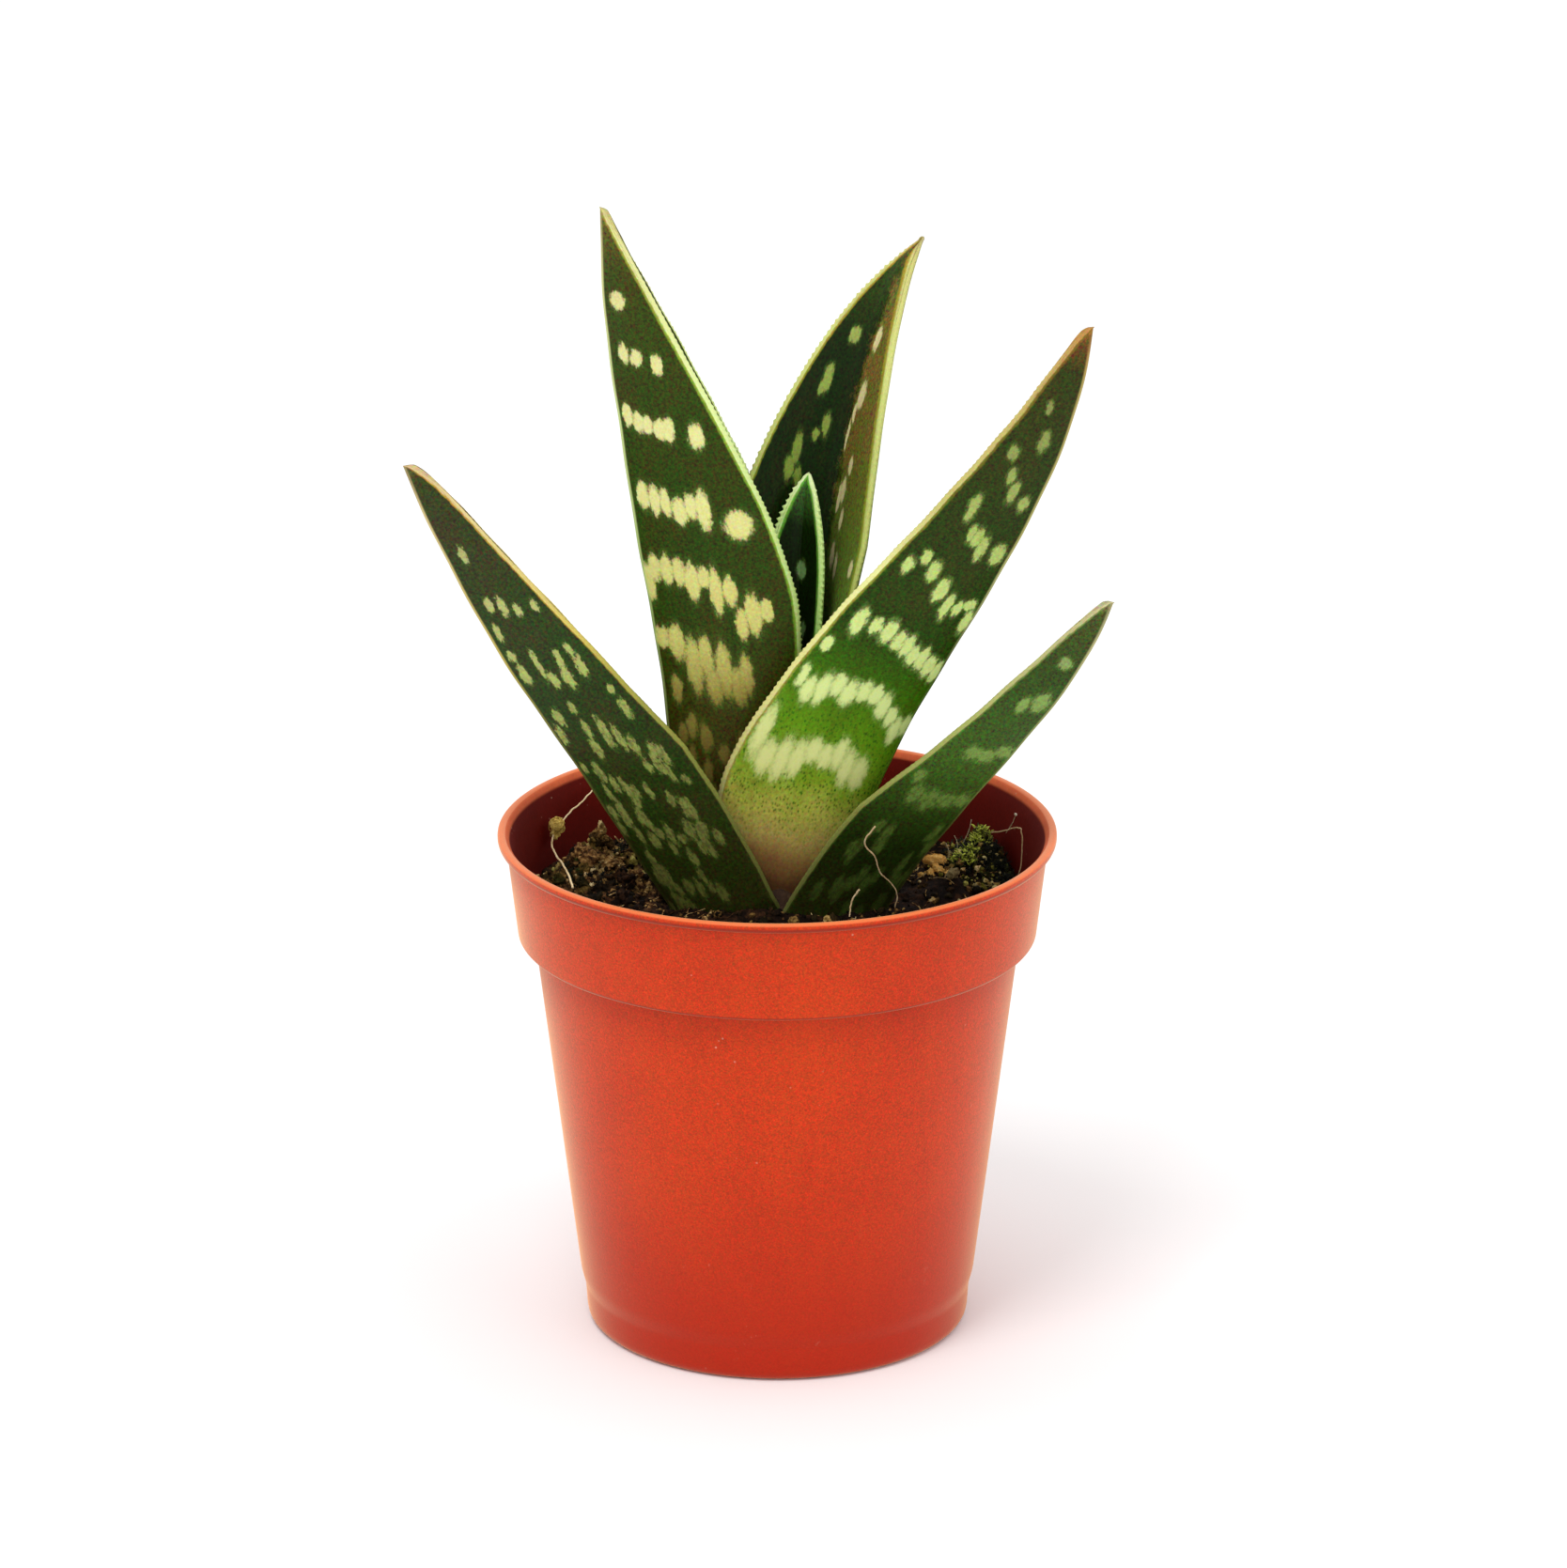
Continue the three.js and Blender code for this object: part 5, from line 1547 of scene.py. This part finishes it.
def add_camera():
    """The camera at the photograph's viewing angle."""
    camera = bpy.data.cameras.new("camera")
    camera.sensor_width = SENSOR
    camera.lens = SENSOR * FOCAL_PIXELS / PICTURE_WIDTH
    camera.clip_end = 20
    view = bpy.data.objects.new("camera", camera)
    tilt = math.radians(CAMERA_TILT)
    back = Vector((0, -math.cos(tilt), math.sin(tilt))) * CAMERA_DISTANCE
    view.location = (Vector(CAMERA_AIM) + back) * MM
    view.rotation_euler = (math.pi / 2 - tilt, 0, 0)
    bpy.context.scene.collection.objects.link(view)
    bpy.context.scene.camera = view


def add_light(name, power):
    """A square softbox."""
    place, width = LIGHTS[name]
    light = bpy.data.lights.new(name, "AREA")
    light.size = width
    light.energy = power
    lamp = bpy.data.objects.new(name, light)
    lamp.location = place
    lamp.rotation_euler = (Vector(LIGHT_AIM) - Vector(place)).to_track_quat("-Z", "Y").to_euler()
    bpy.context.scene.collection.objects.link(lamp)


def add_floor(size):
    """A wide pale floor."""
    finish = Finish("floor")
    paper = finish.noise(finish.position(), 0.3, detail=2, seed=1.0)
    colour = finish.mix(paper, srgb(250, 250, 250), srgb(246, 246, 246))
    mesh = bpy.data.meshes.new("floor")
    corners = [(x * size / 2, y * size / 2, 0) for x, y in ((-1, -1), (1, -1), (1, 1), (-1, 1))]
    mesh.from_pydata(corners, [], [(0, 1, 2, 3)])
    mesh.materials.append(finish.surface(Base_Color=colour, Roughness=0.85, Specular_IOR_Level=0.1))
    floor = bpy.data.objects.new("floor", mesh)
    bpy.context.scene.collection.objects.link(floor)


def add_world(strength):
    """Even white light from all round."""
    world = bpy.data.worlds.new("studio")
    world.use_nodes = True
    background = world.node_tree.nodes["Background"]
    background.inputs["Color"].default_value = (1.0, 1.0, 1.0, 1.0)
    background.inputs["Strength"].default_value = strength
    bpy.context.scene.world = world


# ---------------------------------------------------------------- settings


def colour_property(name, description, red, green, blue):
    """A colour setting, from sRGB values of 0 to 255."""
    return FloatVectorProperty(
        name=name, description=description, subtype="COLOR_GAMMA", size=3, min=0, max=1,
        default=(red / 255, green / 255, blue / 255),
    )


class AloePotSettings(bpy.types.PropertyGroup):
    """What a user may change of the pot"""

    colour: colour_property("Colour", "Colour of the pot's plastic", 192, 50, 0)
    light_colour: colour_property("Light colour", "Where the plastic is palest", 208, 68, 6)
    dark_colour: colour_property("Dark colour", "Where the plastic is darkest", 164, 24, 0)
    sides: IntProperty(name="Sides", description="Faces round the pot", default=224, min=32)


class AloeSoilSettings(bpy.types.PropertyGroup):
    """What a user may change of the soil"""

    rings: IntProperty(
        name="Rings", description="Rings of points on the soil's surface", default=84, min=8)
    sides: IntProperty(
        name="Sides", description="Points round the soil's surface", default=330, min=16)
    crumbs: IntProperty(name="Crumbs", description="Loose crumbs of peat", default=1900, min=0)
    fibres: IntProperty(name="Fibres", description="Fine fibres on the peat", default=230, min=0)


class AloeLeafSettings(bpy.types.PropertyGroup):
    """What a user may change of the leaves. The lengths are in millimetres"""

    spot_outline: colour_property("Spot outline", "Colour of the thin line round a spot", 118, 154, 66)
    station: FloatProperty(
        name="Station", description="Spacing of the sections, in millimetres", default=0.32, min=0.1)
    tooth_pitch: FloatProperty(
        name="Tooth pitch", description="Spacing of the teeth, in millimetres", default=0.96, min=0.2)
    tooth_height: FloatProperty(
        name="Tooth height", description="Height of a tooth, in millimetres", default=0.42, min=0)


class AloeStageSettings(bpy.types.PropertyGroup):
    """What a user may change of the floor and the light"""

    floor_size: FloatProperty(
        name="Floor size", description="Width of the floor", default=12.0, unit="LENGTH")
    world_strength: FloatProperty(
        name="World strength", description="Light from all round", default=1.0, min=0)
    key_power: FloatProperty(
        name="Key power", description="Light of the softbox overhead", default=9.0, unit="POWER")
    fill_power: FloatProperty(
        name="Fill power", description="Light of the softbox at the right", default=1.5, unit="POWER")


# ---------------------------------------------------------------- operators


class ALOE_OT_pot(bpy.types.Operator):
    """Build the nursery pot"""

    bl_idname = "aloe.pot"
    bl_label = "Pot"
    bl_options = {"REGISTER", "UNDO"}

    def execute(self, context):
        pot = context.scene.aloe_pot
        piece = pot_solid(pot).make("nursery_pot", pot_finish(pot), "pot_plastic", ["pot"])
        cut_drain_holes(piece)
        line_pot(piece, pot_inside_finish())
        return {"FINISHED"}


class ALOE_OT_soil(bpy.types.Operator):
    """Build the peat, its crumbs, its heap and its fibres"""

    bl_idname = "aloe.soil"
    bl_label = "Soil"
    bl_options = {"REGISTER", "UNDO"}

    def execute(self, context):
        soil = context.scene.aloe_soil
        peat = peat_finish("peat")
        soil_solid(soil).make("peat_soil", peat, "peat", ["soil"])
        crumb_solid(soil).make("peat_crumbs", peat, "peat")
        heap_solid().make("peat_heap", peat, "peat")
        fibre_solid(soil).make("peat_fibres", peat, "peat")
        return {"FINISHED"}


class ALOE_OT_moss(bpy.types.Operator):
    """Grow the moss on the soil, with what is caught in it"""

    bl_idname = "aloe.moss"
    bl_label = "Moss"
    bl_options = {"REGISTER", "UNDO"}

    def execute(self, context):
        moss_solid().make("moss", moss_finish(), "peat")
        litter_solid().make("moss_litter", peat_finish("litter"), "peat")
        return {"FINISHED"}


class ALOE_OT_stem(bpy.types.Operator):
    """Build the short stem"""

    bl_idname = "aloe.stem"
    bl_label = "Stem"
    bl_options = {"REGISTER", "UNDO"}

    def execute(self, context):
        stem_solid().make("old_stem", dry_finish("old_stem"), "stem", ["stem"])
        return {"FINISHED"}


class ALOE_OT_leaves(bpy.types.Operator):
    """Build the six leaves"""

    bl_idname = "aloe.leaves"
    bl_label = "Leaves"
    bl_options = {"REGISTER", "UNDO"}

    def execute(self, context):
        leaf = context.scene.aloe_leaf
        for name in SHAPES:
            blade = name.replace("leaf", "blade")
            leaf_solid(name, leaf).make(blade, leaf_finish(name, leaf), "leaf", [name])
        return {"FINISHED"}


class ALOE_OT_loose(bpy.types.Operator):
    """Lay the bark chip, the grains and the roots on the soil"""

    bl_idname = "aloe.loose"
    bl_label = "Loose pieces"
    bl_options = {"REGISTER", "UNDO"}

    def execute(self, context):
        chip_solid().make("bark_flake", dry_finish("bark"), "bark", ["bark_chip"])
        mineral = dry_finish("mineral")
        for name, size in GRAINS.items():
            grain_solid(name, size).make("pale_" + name, mineral, "grain", [name])
        dry, pale = dry_finish("dry_root"), dry_finish("pale_root")
        for name in ROOTS:
            # painted light: the left root takes the paler, lit copy of the root's finish
            finish = pale if name == "root_left" else dry
            root_solid(name).make("dry_" + name, finish, "root", [name])
        knot_solid().make("root_knot", dry_finish("knot"), "root")
        return {"FINISHED"}


class ALOE_OT_stage(bpy.types.Operator):
    """Set up the camera, the floor and the light"""

    bl_idname = "aloe.stage"
    bl_label = "Stage"
    bl_options = {"REGISTER", "UNDO"}

    def execute(self, context):
        stage = context.scene.aloe_stage
        context.scene.view_settings.view_transform = "Standard"
        add_camera()
        add_floor(stage.floor_size)
        add_world(stage.world_strength)
        add_light("key", stage.key_power)
        add_light("fill", stage.fill_power)
        return {"FINISHED"}


OPERATORS = (
    ALOE_OT_pot, ALOE_OT_soil, ALOE_OT_moss, ALOE_OT_stem, ALOE_OT_leaves, ALOE_OT_loose,
    ALOE_OT_stage,
)


class ALOE_PT_panel(bpy.types.Panel):
    """Lists the pieces and their settings"""

    bl_idname = "ALOE_PT_panel"
    bl_label = "Potted Tiger Aloe"
    bl_space_type = "VIEW_3D"
    bl_region_type = "UI"
    bl_category = "Aloe"

    def draw(self, context):
        for operator in OPERATORS:
            self.layout.operator(operator.bl_idname)
        for name in SETTINGS:
            box = self.layout.box()
            group = getattr(context.scene, name)
            for key in group.__annotations__:
                box.prop(group, key)


SETTINGS = {
    "aloe_pot": AloePotSettings,
    "aloe_soil": AloeSoilSettings,
    "aloe_leaf": AloeLeafSettings,
    "aloe_stage": AloeStageSettings,
}
CLASSES = (*SETTINGS.values(), *OPERATORS, ALOE_PT_panel)


def register():
    """Registers the classes and gives each scene its settings."""
    for item in CLASSES:
        bpy.utils.register_class(item)
    for name, group in SETTINGS.items():
        setattr(bpy.types.Scene, name, PointerProperty(type=group))


def unregister():
    """Takes the settings and the classes away again."""
    for name in SETTINGS:
        delattr(bpy.types.Scene, name)
    for item in reversed(CLASSES):
        bpy.utils.unregister_class(item)


def main():
    """Builds every piece."""
    register()
    for operator in OPERATORS:
        name = operator.bl_idname.split(".")[1]
        if getattr(bpy.ops.aloe, name)() != {"FINISHED"}:
            raise RuntimeError(f"the {name} operator did not finish")


if __name__ == "__main__":
    main()
